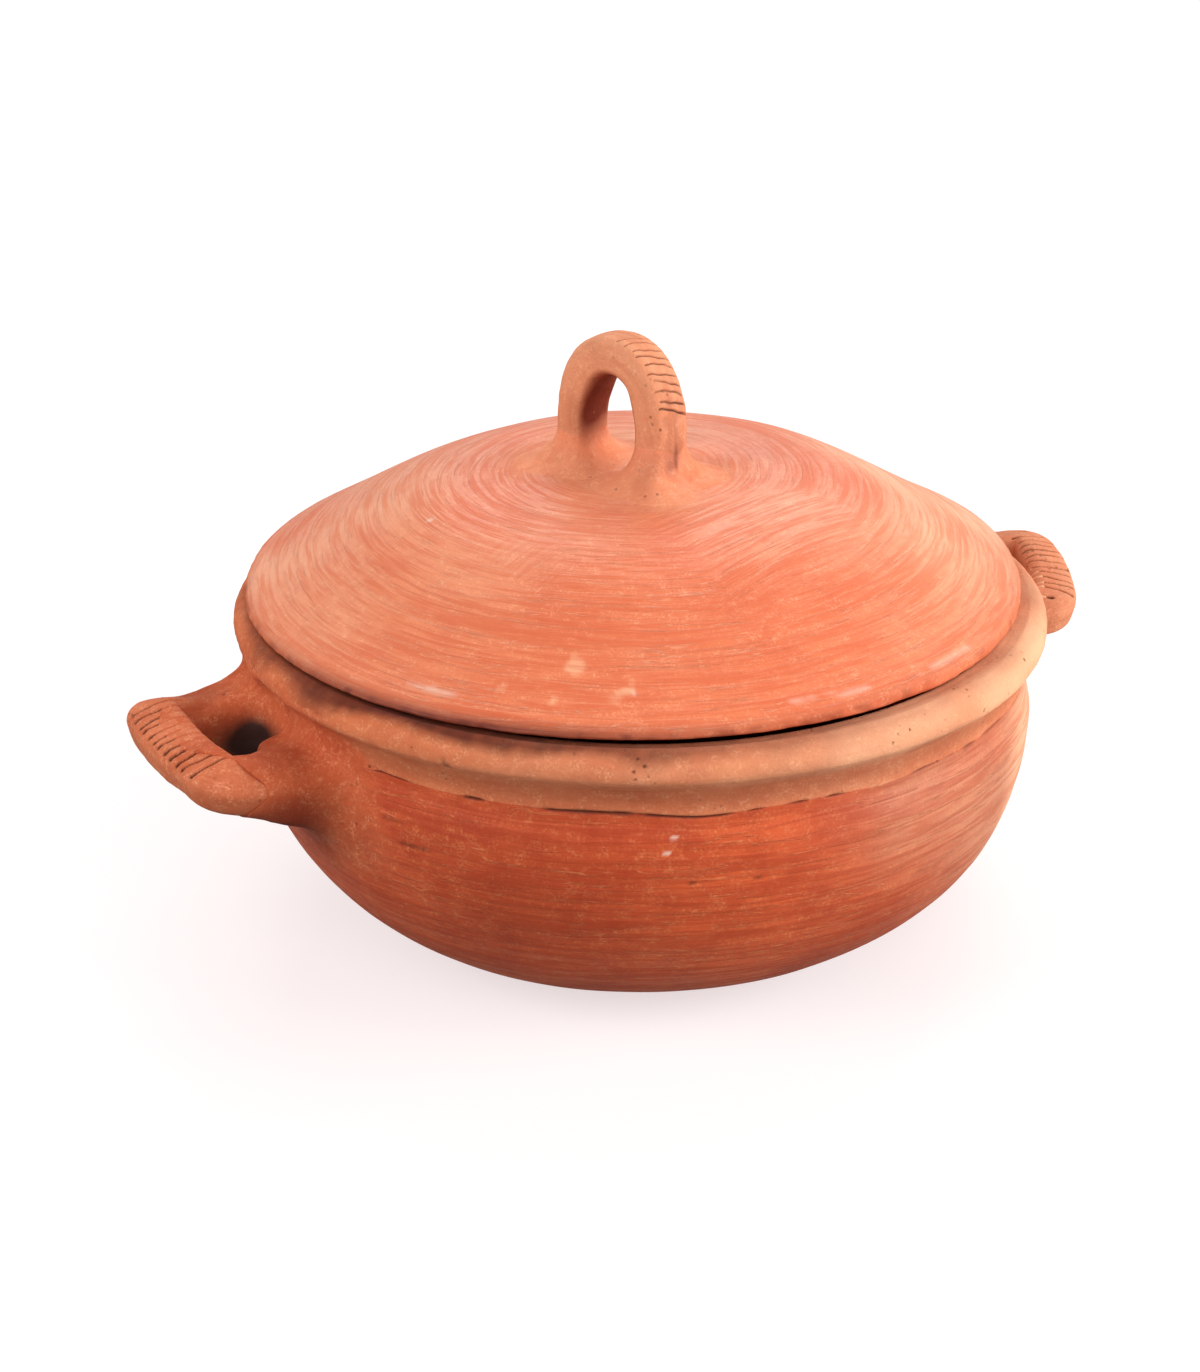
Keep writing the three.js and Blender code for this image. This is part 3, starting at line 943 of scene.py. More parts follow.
@dataclass(frozen=True)
class ClayFinish:
    """One finish of the fired clay: its colours, its gloss and how it was worked."""

    name: str
    slot: str
    tones: Tones
    roughness: Flat
    specular: float
    mottle: float
    streak: float
    stroke_relief: float
    grit_relief: float
    pits: float

    def material(self, effects: Effects) -> bpy.types.Material:
        """Build the material.

        Args:
            effects: The shared node groups.

        Returns:
            The finished material.
        """
        material = bpy.data.materials.new(self.name)
        material.use_nodes = True
        material.node_tree.nodes.clear()
        graph = Graph(material.node_tree)
        output = graph.add("ShaderNodeOutputMaterial")
        shader = graph.add("ShaderNodeBsdfPrincipled")
        shader.inputs["Specular IOR Level"].default_value = self.specular
        graph.feed(output.inputs["Surface"], shader.outputs["BSDF"])
        where = graph.add("ShaderNodeTexCoord").outputs["Object"]
        rough = graph.attribute("rough").outputs["Fac"]
        worked = graph.math("SUBTRACT", 1.0, rough, clamp=True)
        strokes = self.strokes(graph, effects)
        pits = graph.add("ShaderNodeGroup", node_tree=effects.pits)
        graph.feed(pits.inputs["Vector"], where)
        graph.feed(pits.inputs["Amount"], graph.plus(graph.times(rough, 0.8), self.pits))
        own = self.toned(graph, effects, where, self.tones)
        smeared = self.toned(graph, effects, where, SMEARED_TONES)
        color = graph.blend(graph.times(strokes["Streak"], worked, self.streak), own, self.tones.deep)
        # The crests of the strokes are painted lighter: a painted highlight.
        color = graph.blend(graph.times(strokes["Ridge"], worked, 0.5), color, self.tones.light)
        color = graph.blend(graph.attribute("smear").outputs["Fac"], color, smeared)
        stroked = graph.minus(1.0, graph.times(strokes["Streak"], graph.times(worked, 0.5)))
        # Pale clay, and painted light and sheen where the lamps fall, broken by the strokes.
        clouded = graph.times(graph.attribute("pale_and_lit").outputs["Fac"], stroked)
        color = graph.blend(clouded, color, TAN_AND_LIGHT)
        # Soot and painted shade; salt flecks and painted highlights.
        for stain, tone in ((Stain.SMOKE_AND_SHADE, SOOT_AND_SHADE), (Stain.SALT_AND_SHEEN, SALT_AND_SHEEN)):
            color = graph.blend(graph.attribute(stain.value).outputs["Fac"], color, tone)
        color = graph.blend(graph.times(pits.outputs["Speck"], 0.28), color, TAN_AND_LIGHT)
        color = graph.blend(graph.times(pits.outputs["Pit"], 0.75), color, PIT_DARK)
        # Cracks and pits, and painted shade in the ear's hole, in the ticks' cuts and under the lid's edge.
        color = graph.blend(graph.attribute("dirt_and_shade").outputs["Fac"], color, CRACK_AND_SHADE_DARK)
        graph.feed(shader.inputs["Base Color"], color)
        gloss = graph.span(strokes["Streak"], 0.0, 1.0, *self.roughness)
        graph.feed(shader.inputs["Roughness"], graph.math("ADD", gloss, graph.times(rough, 0.3), clamp=True))
        graph.feed(shader.inputs["Normal"], self.relief(graph, strokes, pits, rough, worked))
        return material

    def toned(self, graph: Graph, effects: Effects, where: Socket, tones: Tones) -> Socket:
        """Add the mottled colour of one set of tones.

        Args:
            graph: Adds the nodes.
            effects: The shared node groups.
            where: The place on the piece.
            tones: The three colours.

        Returns:
            The colour.
        """
        mottle = graph.add("ShaderNodeGroup", node_tree=effects.mottle)
        names = ("Vector", "Base", "Deep", "Light", "Amount")
        for name, value in zip(names, (where, tones.base, tones.deep, tones.light, self.mottle)):
            graph.feed(mottle.inputs[name], value)
        return mottle.outputs["Color"]

    def strokes(self, graph: Graph, effects: Effects) -> dict[str, Socket]:
        """Add the strokes along the grain, and those across it where the mesh says so.

        Args:
            graph: Adds the nodes.
            effects: The shared node groups.

        Returns:
            The strokes' values by name.
        """
        layers = []
        for grain in ("grain", "grain_across"):
            layer = graph.add("ShaderNodeGroup", node_tree=effects.strokes)
            graph.feed(layer.inputs["Grain"], graph.attribute(grain).outputs["Vector"])
            layer.inputs["Warp"].default_value = 2.6
            layers.append(layer)
        across = graph.attribute("across").outputs["Fac"]
        picked = {}
        for name in ("Streak", "Facet", "Ridge"):
            mix = graph.add("ShaderNodeMix", data_type="FLOAT")
            graph.feed(mix.inputs[0], across)
            graph.feed(mix.inputs[2], layers[0].outputs[name])
            graph.feed(mix.inputs[3], layers[1].outputs[name])
            picked[name] = mix.outputs[0]
        return picked

    def relief(self, graph: Graph, strokes: dict[str, Socket], pits: Node,
               rough: Socket, worked: Socket) -> Socket:
        """Add the fine relief of the strokes, the sand and the pits.

        Args:
            graph: Adds the nodes.
            strokes: The strokes' values.
            pits: The placed group of pits.
            rough: How rough the clay is.
            worked: How well it is burnished.

        Returns:
            The surface's direction.
        """
        wide = graph.times(strokes["Facet"], self.stroke_relief)
        fine = graph.times(strokes["Streak"], self.stroke_relief * 0.28)
        crest = graph.times(strokes["Ridge"], self.stroke_relief * 0.4)
        stone = graph.times(graph.plus(wide, fine, crest), worked)
        sandy = graph.times(graph.plus(graph.times(rough, 1.6), 1.0), self.grit_relief)
        grit = graph.times(pits.outputs["Relief"], sandy)
        hole = graph.times(pits.outputs["Pit"], -0.3)
        bumpy = graph.add("ShaderNodeBump")
        bumpy.inputs["Strength"].default_value = 1.0
        bumpy.inputs["Distance"].default_value = MM
        graph.feed(bumpy.inputs["Height"], graph.plus(stone, graph.plus(grit, hole)))
        return bumpy.outputs["Normal"]


BURNISHED_BOWL = ClayFinish(
    "burnished bowl clay", "burnished_bowl_clay",
    Tones(srgb(219, 95, 51), srgb(172, 58, 28), srgb(232, 138, 88)),
    roughness=(0.46, 0.62), specular=0.24, mottle=0.8, streak=0.62,
    stroke_relief=0.36, grit_relief=0.08, pits=0.13,
)
BURNISHED_LID = ClayFinish(
    "burnished lid clay", "burnished_lid_clay",
    Tones(srgb(232, 128, 84), srgb(212, 98, 58), srgb(244, 164, 124)),
    roughness=(0.38, 0.56), specular=0.36, mottle=0.85, streak=0.85,
    stroke_relief=0.34, grit_relief=0.07, pits=0.14,
)
WIPED_RIM = ClayFinish(
    "wiped rim clay", "wiped_rim_clay",
    Tones(srgb(222, 124, 80), srgb(190, 90, 54), srgb(240, 166, 122)),
    roughness=(0.6, 0.75), specular=0.25, mottle=0.75, streak=0.32,
    stroke_relief=0.16, grit_relief=0.22, pits=0.35,
)
STRAP_CLAY = ClayFinish(
    "strap clay", "strap_clay",
    Tones(srgb(218, 124, 84), srgb(182, 84, 50), srgb(238, 164, 124)),
    roughness=(0.6, 0.78), specular=0.25, mottle=0.8, streak=0.25,
    stroke_relief=0.14, grit_relief=0.3, pits=0.45,
)
SMEARED_CLAY = ClayFinish(
    "smeared clay", "smeared_clay",
    SMEARED_TONES,
    roughness=(0.6, 0.78), specular=0.25, mottle=0.8, streak=0.25,
    stroke_relief=0.14, grit_relief=0.3, pits=0.45,
)
SMEARED_LID_CLAY = ClayFinish(
    "smeared lid clay", "smeared_clay",
    Tones(srgb(236, 132, 90), srgb(206, 96, 58), srgb(248, 170, 130)),
    roughness=(0.5, 0.7), specular=0.3, mottle=0.8, streak=0.4,
    stroke_relief=0.2, grit_relief=0.25, pits=0.4,
)


class Kiln:
    """Makes the pieces: turns grids of points into meshes, and gives them their finish and body."""

    def __init__(self) -> None:
        """Start with the shared effects and no material."""
        self.effects = Effects()
        self.materials: dict[str, bpy.types.Material] = {}

    def fire(self, name: str, points: Points, faces: Faces, finish: ClayFinish, rider: Rider,
             nodes: tuple[str, ...], marks: dict[str, Points]) -> None:
        """Make one finished piece.

        Args:
            name: The piece's name.
            points: Its vertices in millimetres, in the pot's frame.
            faces: The vertex numbers of each face.
            finish: Its finish.
            rider: The body that it rides on.
            nodes: The solids that it stands for.
            marks: Values at the vertices, by name; the grains hold three for each.
        """
        mesh = bpy.data.meshes.new(name)
        mesh.from_pydata((points * MM).tolist(), [], faces)
        shell = bmesh.new()
        shell.from_mesh(mesh)
        bmesh.ops.recalc_face_normals(shell, faces=shell.faces)
        shell.to_mesh(mesh)
        shell.free()
        mesh.polygons.foreach_set("use_smooth", [True] * len(mesh.polygons))
        for mark, values in marks.items():
            kind, part = ("FLOAT_VECTOR", "vector") if mark.startswith("grain") else ("FLOAT", "value")
            data = mesh.attributes.new(mark, kind, "POINT").data
            data.foreach_set(part, np.ascontiguousarray(values, np.float32).ravel())
        if finish.name not in self.materials:
            self.materials[finish.name] = finish.material(self.effects)
        mesh.materials.append(self.materials[finish.name])
        piece = bpy.data.objects.new(name, mesh)
        bpy.context.scene.collection.objects.link(piece)
        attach(piece, rider.value)
        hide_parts(*nodes)
        LOG.info("%s: %d points", name, len(points))


def ring_faces(rings: int, count: int, closed: bool) -> Faces:
    """Return the four-sided faces between rings of equally many points.

    Args:
        rings: How many rings there are.
        count: How many points each has.
        closed: Whether the last ring joins on to the first.

    Returns:
        The vertex numbers of each face.
    """
    first = np.arange(rings if closed else rings - 1)[:, None]
    second = (first + 1) % rings
    around = np.arange(count)[None, :]
    ahead = (around + 1) % count
    corners = [first * count + around, first * count + ahead, second * count + ahead, second * count + around]
    return np.stack(corners, -1).reshape(-1, 4).tolist()


def fan_faces(start: int, count: int, middle: int, flip: bool) -> Faces:
    """Return the triangles that close a ring over its middle point."""
    faces = [[start + i, start + (i + 1) % count, middle] for i in range(count)]
    return [face[::-1] for face in faces] if flip else faces


def capped_faces(rings: int, count: int, flip: bool) -> Faces:
    """Return the faces of open rings and of the fans that close both ends.

    Args:
        rings: How many rings there are.
        count: How many points each has.
        flip: Whether the first fan is turned over, and not the last.

    Returns:
        The vertex numbers of each face; the ends' middle points come after the rings.
    """
    total = rings * count
    faces = ring_faces(rings, count, False) + fan_faces(0, count, total, flip)
    return faces + fan_faces(total - count, count, total + 1, not flip)


def revolve(profile: Points, around: int) -> Points:
    """Turn a profile about the axis.

    Args:
        profile: The (radius, height) points.
        around: How many steps the turn has.

    Returns:
        The points, by profile point and then by step.
    """
    angle = np.arange(around) / around * 2 * math.pi
    x = profile[:, :1] * np.cos(angle)
    y = profile[:, :1] * np.sin(angle)
    z = np.repeat(profile[:, 1:], around, axis=1)
    return np.stack([x, y, z], -1)


def level_grain(grid: Points, reach: Points, long: float, wide: float) -> Points:
    """Return the coordinates that draw level strokes round a turned form.

    Args:
        grid: The points, by profile point and then by step.
        reach: How far along the profile each row is.
        long: The length of a stroke in millimetres.
        wide: Its width in millimetres.

    Returns:
        Three values for each point.
    """
    around = reach_of(grid) + 1e-6
    even = np.maximum(around, 40)
    x = grid[..., 0] / around * even / long
    y = grid[..., 1] / around * even / long
    return np.stack([x, y, np.repeat((reach / wide)[:, None], grid.shape[1], axis=1)], -1)


@dataclass(frozen=True)
class Mark:
    """A small mark on the clay: a chip, a fleck, a pit, a crack, a patch of soot, a painted highlight, or a
    patch of painted light or shade.
    """

    kind: Stain
    place: Spot
    size: Spot
    strength: float = 1.0

    def share(self, points: Points) -> Points:
        """Return how strongly the mark shows at each point.

        Args:
            points: The points.

        Returns:
            Values from 0 to the mark's strength.
        """
        gap = (((points - np.array(self.place)) / np.array(self.size)) ** 2).sum(-1)
        if min(self.size) > 5:
            return self.strength * unit(1.4 * np.exp(-gap * (1 + 0.25 * HAND.at(points * 0.5))))
        ragged = 1 + np.clip(0.5 * GRIT.at(points), -0.6, 1.5)
        return self.strength * unit(2.6 * np.exp(-gap * ragged) - 0.7)


POT_MARKS = (
    Mark(Stain.SALT_AND_SHEEN, (-143.2, -23.8, 85.5), (3, 2.2, 2.2), 0.5),
    Mark(Stain.SALT_AND_SHEEN, (-139.5, -38.6, 91.5), (2.5, 3, 1.6), 0.45),
    Mark(Stain.SALT_AND_SHEEN, (-59.2, -132.3, 90.4), (1.5, 1.5, 0.8), 0.6),
    Mark(Stain.SALT_AND_SHEEN, (-56.6, -132.3, 95.6), (1.3, 1.3, 0.7), 0.5),
    Mark(Stain.DIRT_AND_SHADE, (-142.7, -15.5, 69.3), (1.6, 1.6, 1.5), 0.7),
    Mark(Stain.DIRT_AND_SHADE, (-139.6, -36.9, 74.3), (1.6, 1.6, 1.3), 0.7),
    Mark(Stain.DIRT_AND_SHADE, (-51.5, -135.5, 79.4), (1.3, 1.3, 1.2), 0.6),
    Mark(Stain.DIRT_AND_SHADE, (-30.6, -141.7, 79.1), (1.3, 1.3, 1.2), 0.6),
    # Painted shade in the left ear's hole.
    Mark(Stain.DIRT_AND_SHADE, (-157, 14, 93), (10, 13, 8), 0.97),
    Mark(Stain.DIRT_AND_SHADE, (-148.5, 9, 95), (7.5, 11, 6.5), 0.95),
    Mark(Stain.DIRT_AND_SHADE, (-150, -2, 84), (9, 14, 8), 0.8),
    # Painted shade on the underside and the shaded face of the left ear's near leg.
    Mark(Stain.SMOKE_AND_SHADE, (-159, -30, 78), (15, 12, 6), 0.7),
    Mark(Stain.SMOKE_AND_SHADE, (-167, -40, 85), (24, 10, 8.5), 0.75),
    # Painted light on the bowl's right side, where the right lamp falls.
    Mark(Stain.PALE_AND_LIT, (105, -85, 46), (50, 55, 24), 0.4),
    # Painted shade on the left ear's far leg.
    Mark(Stain.SMOKE_AND_SHADE, (-166, 22, 104), (12, 12, 12), 0.35),
    Mark(Stain.DIRT_AND_SHADE, (-125.1, -73.5, 82), (5, 7, 0.9), 0.5),
    Mark(Stain.DIRT_AND_SHADE, (-129, -66.2, 89), (4, 5, 0.9), 0.4),
    # Painted shade under the left ear, and a faint darker cloud low on the front.
    Mark(Stain.SMOKE_AND_SHADE, (-141.6, -22.2, 68.1), (9, 9, 6), 0.4),
    Mark(Stain.SMOKE_AND_SHADE, (-139.9, -24.8, 60), (12, 14, 8), 0.2),
    Mark(Stain.SMOKE_AND_SHADE, (-86.6, -108.2, 53.4), (34, 34, 20), 0.12),
    Mark(Stain.DIRT_AND_SHADE, (-118.7, -89.8, 115.3), (2, 1.2, 4), 0.5),
    # Painted light on the bowl's right side, where the right lamp falls.
    Mark(Stain.PALE_AND_LIT, (42, -138.7, 90), (34, 20, 22), 0.2),
    Mark(Stain.PALE_AND_LIT, (118, -76, 80), (62, 72, 36), 0.72),
    Mark(Stain.PALE_AND_LIT, (142, -30, 80), (40, 60, 44), 0.55),
)
LID_MARKS = (
    Mark(Stain.SALT_AND_SHEEN, (-71.7, -90.3, 158), (1.8, 1.2, 9), 0.6),
    Mark(Stain.SALT_AND_SHEEN, (-65.4, -104.6, 152), (1.4, 1.4, 9), 0.5),
    Mark(Stain.SALT_AND_SHEEN, (-59.2, -109.5, 150), (1.6, 1.1, 9), 0.6),
    Mark(Stain.SALT_AND_SHEEN, (-50.3, -123, 145), (1.3, 1.3, 9), 0.5),
    Mark(Stain.SALT_AND_SHEEN, (-81.6, 4.2, 165), (1.4, 1.4, 9), 0.4),
    # Painted highlights: thin streaks of sheen along the lid's shoulder.
    Mark(Stain.SALT_AND_SHEEN, (-119.2, -71, 134.6), (15, 11, 0.6), 0.4),
    Mark(Stain.SALT_AND_SHEEN, (4.9, -135.9, 134.6), (18, 9, 0.5), 0.3),
    Mark(Stain.SALT_AND_SHEEN, (60, -124, 134.4), (20, 12, 0.45), 0.25),
    Mark(Stain.PALE_AND_LIT, (-71.6, -91.7, 145), (3.6, 2.8, 8), 0.6),
    Mark(Stain.PALE_AND_LIT, (-64.3, -107.5, 140), (6, 2.0, 8), 0.5),
    Mark(Stain.PALE_AND_LIT, (-84, -98, 140), (2, 1.1, 8), 0.5),
    Mark(Stain.PALE_AND_LIT, (-96, -84, 140), (2.4, 1.0, 8), 0.4),
)


LOOP_MARKS = (
    Mark(Stain.SMOKE_AND_SHADE, (3, -19, 188), (5, 6, 12), 0.28),
    Mark(Stain.SMOKE_AND_SHADE, (-1, -17.5, 178), (6, 5.5, 5.5), 0.3),
    Mark(Stain.SMOKE_AND_SHADE, (-13, 11, 190), (9, 9, 9), 0.4),
    Mark(Stain.DIRT_AND_SHADE, (-5, -14.5, 177.5), (4, 3, 1.6), 0.6),
    Mark(Stain.DIRT_AND_SHADE, (-3, -8, 176.5), (5, 3, 1.4), 0.5),
    Mark(Stain.DIRT_AND_SHADE, (4.5, -19, 181.5), (1.3, 2, 4), 0.4),
    Mark(Stain.DIRT_AND_SHADE, (-16, 8, 186), (2.4, 3, 3), 0.45),
)


def stamped(marks: tuple[Mark, ...], kind: Stain, points: Points) -> Points:
    """Add up how strongly the marks of one kind show at each point."""
    return sum((mark.share(points) for mark in marks if mark.kind == kind), np.zeros(points.shape[:-1]))


def with_ends(marks: dict[str, Points]) -> dict[str, Points]:
    """Flatten the values of a turned form and add zeros for the middles of its two ends."""
    return {name: np.concatenate([values.ravel(), [0, 0]]) for name, values in marks.items()}


@dataclass(frozen=True)
class Slab:
    """An extra wedge of clay pressed in beside a root: a slanting plane between level and upright ones.

    All its places are in the strap's frame, with the second one counted from the middle of the strap.
    """

    point: Spot
    normal: Spot
    aside: Flat
    height: Flat

    def distance(self, spots: Points) -> Points:
        """Return how far outside the wedge each place is.

        Args:
            spots: Places in the strap's frame, counted from its middle.

        Returns:
            The distances in millimetres.
        """
        plane = (spots - np.array(self.point)) @ np.array(self.normal)
        beside = np.abs(spots[..., 1] - sum(self.aside) / 2) - (self.aside[1] - self.aside[0]) / 2
        above = np.abs(spots[..., 2] - sum(self.height) / 2) - (self.height[1] - self.height[0]) / 2
        return -melt(-plane, melt(-beside, -above, 5.0), 5.0)


@dataclass(frozen=True)
class Root:
    """One root of a strap, and how thickly the clay is smeared round it."""

    bent: Bent
    place: Place
    surface: PotWall | Dome
    side: int
    base: float
    hole: float = 0.0
    outer: float = 0.0
    top: float = 0.0
    under: float = 0.0
    slabs: tuple[Slab, ...] = ()
    wide: bool = False

    def fillet(self, local: Points) -> Points:
        """Return the fillet's radius at each point of the strap's frame.

        Args:
            local: Points in the strap's frame.

        Returns:
            The radii in millimetres.
        """
        off = self.side * local[..., 1] - self.bent.half_span
        half_in, half_across = self.bent.in_plane / 2, self.bent.across / 2
        inner, outer = (np.clip(sign * off / half_in, 0, 1.6) for sign in (-1, 1))
        high, low = (np.clip(sign * local[..., 2] / half_across, 0, 1.6) for sign in (1, -1))
        return self.base + self.hole * inner + self.outer * outer + self.top * high + self.under * low

    def parts(self, points: Points, fine: bool = True) -> tuple[Points, Points, Points]:
        """Return how far each point is outside the wall and the strap, and the fillet's radius there.

        Args:
            points: The points.
            fine: Whether the clay's unevenness counts.

        Returns:
            Both distances and the radius.
        """
        local = self.place.back(points)
        if fine:
            return self.surface.distance(points), self.bent.distance(local), self.fillet(local)
        return self.surface.even_distance(points), self.bent.even_distance(local), self.fillet(local)

    def skin(self, points: Points, fine: bool) -> Points:
        """Return how far outside the wad each point is.

        Args:
            points: The points, in the pot's frame.
            fine: Whether the clay's unevenness counts.

        Returns:
            The distance in millimetres, negative inside.
        """
        wall, strap, radius = self.parts(points, fine)
        local = self.place.back(points)
        aside = self.side * local[..., 1]
        share = unit(1 - np.abs(wall - strap) / radius)
        lumps = 0.4 * HAND.at(points) + 0.16 * HAND.at(points * 2.6) + 0.09 * GRIT.at(points) if fine else 0
        skin = np.minimum(wall, strap) - share**2 * (radius / 4 + lumps)
        room = radius + 1.5
        spots = np.stack([local[..., 0], aside, local[..., 2]], -1)
        for slab in self.slabs:
            skin = melt(skin, slab.distance(spots) + lumps, 8.0)
        room = room + 12 * (len(self.slabs) > 0)
        skin = skin + 0.12 + 0.3 * np.clip(1 - aside / 1.5, 0, 2) ** 2 + np.clip((strap - 15) / 7, 0, 2) ** 2
        for bound in (-wall - 3, strap - np.minimum(room, 24), wall - room, -aside - 1.2):
            skin = np.maximum(skin, bound)
        return skin

    def covered(self, points: Points) -> Points:
        """Return how far each point of the wall or the strap lies in the smeared clay.

        Args:
            points: The points.

        Returns:
            Values from 0 to 1.
        """
        wall, strap, radius = self.parts(points)
        away = np.maximum(wall, strap) + 1.6 * HAND.at(points * 1.3)
        own_half = self.side * self.place.back(points)[..., 1] > -2
        return unit((np.minimum(radius * 1.15 + 7, 29) - away) / 13) * own_half

    def box(self) -> tuple[Points, Points]:
        """Return the lowest and the highest corner of the box that the wad lies in.

        Returns:
            The two corners.
        """
        reach = self.base + max(self.hole, self.outer, self.top, self.under) * 1.6 + 4
        middle = self.side * self.bent.half_span
        half_in, half_across = self.bent.in_plane / 2, self.bent.across / 2
        ends = [(-14 if self.wide else -8, reach + 8), (middle - half_in - reach, middle + half_in + reach),
                (-half_across - reach, half_across + reach)]
        corners = np.array([[x, y, z] for x in ends[0] for y in ends[1] for z in ends[2]])
        out = self.place.out(corners)
        return out.min(0), out.max(0)


def smeared_by(roots: tuple[Root, ...], points: Points) -> Points:
    """Add up how far each point lies in the clay smeared round the roots."""
    return sum((root.covered(points) for root in roots), np.zeros(points.shape[:-1]))


@dataclass
class BowlShell:
    """The round-bottomed bowl up to its neck."""

    wall: PotWall
    roots: tuple[Root, ...]
    steps: int = 720
    stroke: Flat = (30.0, 1.9)
    palest: float = 0.82

    def profile(self) -> tuple[Points, int]:
        """Return the whole profile from the middle of the rest round to the middle of the floor.

        Returns:
            The (radius, height) points, and how many of them are on the outside.
        """
        line = self.wall.outline()
        line = paced(line[line[:, 1] <= NECK[1]], seam_pace)
        outside = np.vstack([np.stack([np.linspace(3, BASE_RADIUS - 2, 12), np.zeros(12)], -1), line])
        inner = BELLY[0] - WALL
        neck = (NECK[0] - WALL, NECK[1])
        floor = (58, WALL + 0.5)
        inside = np.vstack([
            bezier([neck, (neck[0], NECK[1] - 6), (inner, BELLY[1] + 8), (inner, BELLY[1])], 12),
            bezier([(inner, BELLY[1]), (inner, BELLY[1] - BELLY_PULL + WALL), (85, WALL), floor], 60)[1:],
            np.stack([np.linspace(54, 3, 12), np.full(12, WALL + 0.5)], -1),
        ])
        return np.vstack([outside, inside]), len(outside)

    def build(self, kiln: Kiln) -> None:
        """Make the piece.

        Args:
            kiln: Makes the mesh and gives it its finish.
        """
        profile, outer = self.profile()
        grid = revolve(profile, self.steps)
        around = around_of(grid)
        outside = (np.arange(len(profile)) < outer)[:, None]
        grid[..., 2] += np.where(outside, self.wall.waver(around, grid[..., 2]), 0)
        rise = unit(grid[..., 2] / 6)
        facet = 0.1 * HAND.at(grid * [1, 1, 3.2])
        inside = 0.5 * SOFT.at(grid * 1.3) + 0.12 * HAND.at(grid * [1, 1, 2.5])
        hidden = inside * unit((NECK[1] - grid[..., 2]) / 10)
        out = np.where(outside, (self.wall.swell(grid) + facet) * rise, hidden)
        reach = reach_of(grid)
        seam = seam_groove(self.wall, grid, around) * outside
        out = out - 0.7 * seam
        grid[..., :2] *= (1 + out / reach)[..., None]
        floor = ~outside & (grid[..., 2] < WALL + 6)
        grid[..., 2] += np.where(floor, 0.4 * HAND.at(grid * 0.7), 0)
        ends = np.array([[0, 0, 0], [0, 0, WALL + 0.5]])
        faces = capped_faces(len(profile), self.steps, True)
        marks = with_ends(self.marks(grid, around, outside, seam))
        grain = level_grain(grid, arc_length(profile), *self.stroke).reshape(-1, 3)
        marks["grain"] = np.vstack([grain, [[0, 0, 0], [9, 9, 9]]])
        every = np.vstack([grid.reshape(-1, 3), ends])
        kiln.fire("bowl", every, faces, BURNISHED_BOWL, Rider.POT, ("bowl_shell",), marks)

    def marks(self, grid: Points, around: Points, outside: Points, seam: Points) -> dict[str, Points]:
        """Return where the bowl is shaded, rough, lit, dirty and smeared; the shade and the light are painted
        in, and so is the dark of the left ear's hole.

        Args:
            grid: The bowl's points.
            around: Their directions.
            outside: Which of them are outside.
            seam: How open the seam is there.

        Returns:
            The values at the points, by name.
        """
        height = grid[..., 2]
        # Painted shade: darker towards the bottom, and in clouds on the shaded front; a little darker in a
        # band along the seam.
        low = unit((40 - height) / 40)
        band = bump(height, NECK[1] - 1, 4.0)
        shadow_side = 0.5 + 0.5 * np.cos(around - FRONT - 0.5)
        cloud = unit(SOFT.at(grid * 0.8) + 0.1)
        smoke_and_shade = 0.3 * low + 0.1 * band + 0.2 * cloud * shadow_side + stamped(POT_MARKS, Stain.SMOKE_AND_SHADE, grid)
        rough = np.where(outside, 0.4 * bump(height, NECK[1], 3.0) + 0.7 * (height < 2.5), 0.5)
        smear = unit(smeared_by(self.roots, grid))
        return {
            "smoke_and_shade": unit(outside * smoke_and_shade),
            "rough": np.maximum(rough, 0.5 * smear),
            "smear": smear * outside,
            "pale_and_lit": outside * np.clip(stamped(POT_MARKS, Stain.PALE_AND_LIT, grid), 0, self.palest),
            "salt_and_sheen": outside * stamped(POT_MARKS, Stain.SALT_AND_SHEEN, grid),
            "dirt_and_shade": unit(outside * (0.85 * seam + stamped(POT_MARKS, Stain.DIRT_AND_SHADE, grid))),
        }


def seam_groove(wall: PotWall, grid: Points, around: Points) -> Points:
    """Return how open the seam between the bowl and the rim is at each point.

    Args:
        wall: The pot's wall.
        grid: The points.
        around: Their directions.

    Returns:
        Values from 0 to 1.
    """
    ring = np.stack([np.cos(around) * NECK[0], np.sin(around) * NECK[0], np.zeros_like(around)], -1)
    middle = NECK[1] + wall.waver(around, np.full_like(around, NECK[1]))
    wide = 0.42 + 0.2 * HAND.at(ring * 2.1)
    gate = unit(1.1 * HAND.at(ring * 0.8) + 0.1 + 0.7 * GRIT.at(ring * 0.5))
    gate = gate * np.clip(0.45 + 0.9 * np.cos(around - math.radians(GROOVE_AND_SHADOW_SIDE)), 0.15, 1)
    return np.exp(-(((grid[..., 2] - middle) / np.clip(wide, 0.25, 1)) ** 2)) * gate


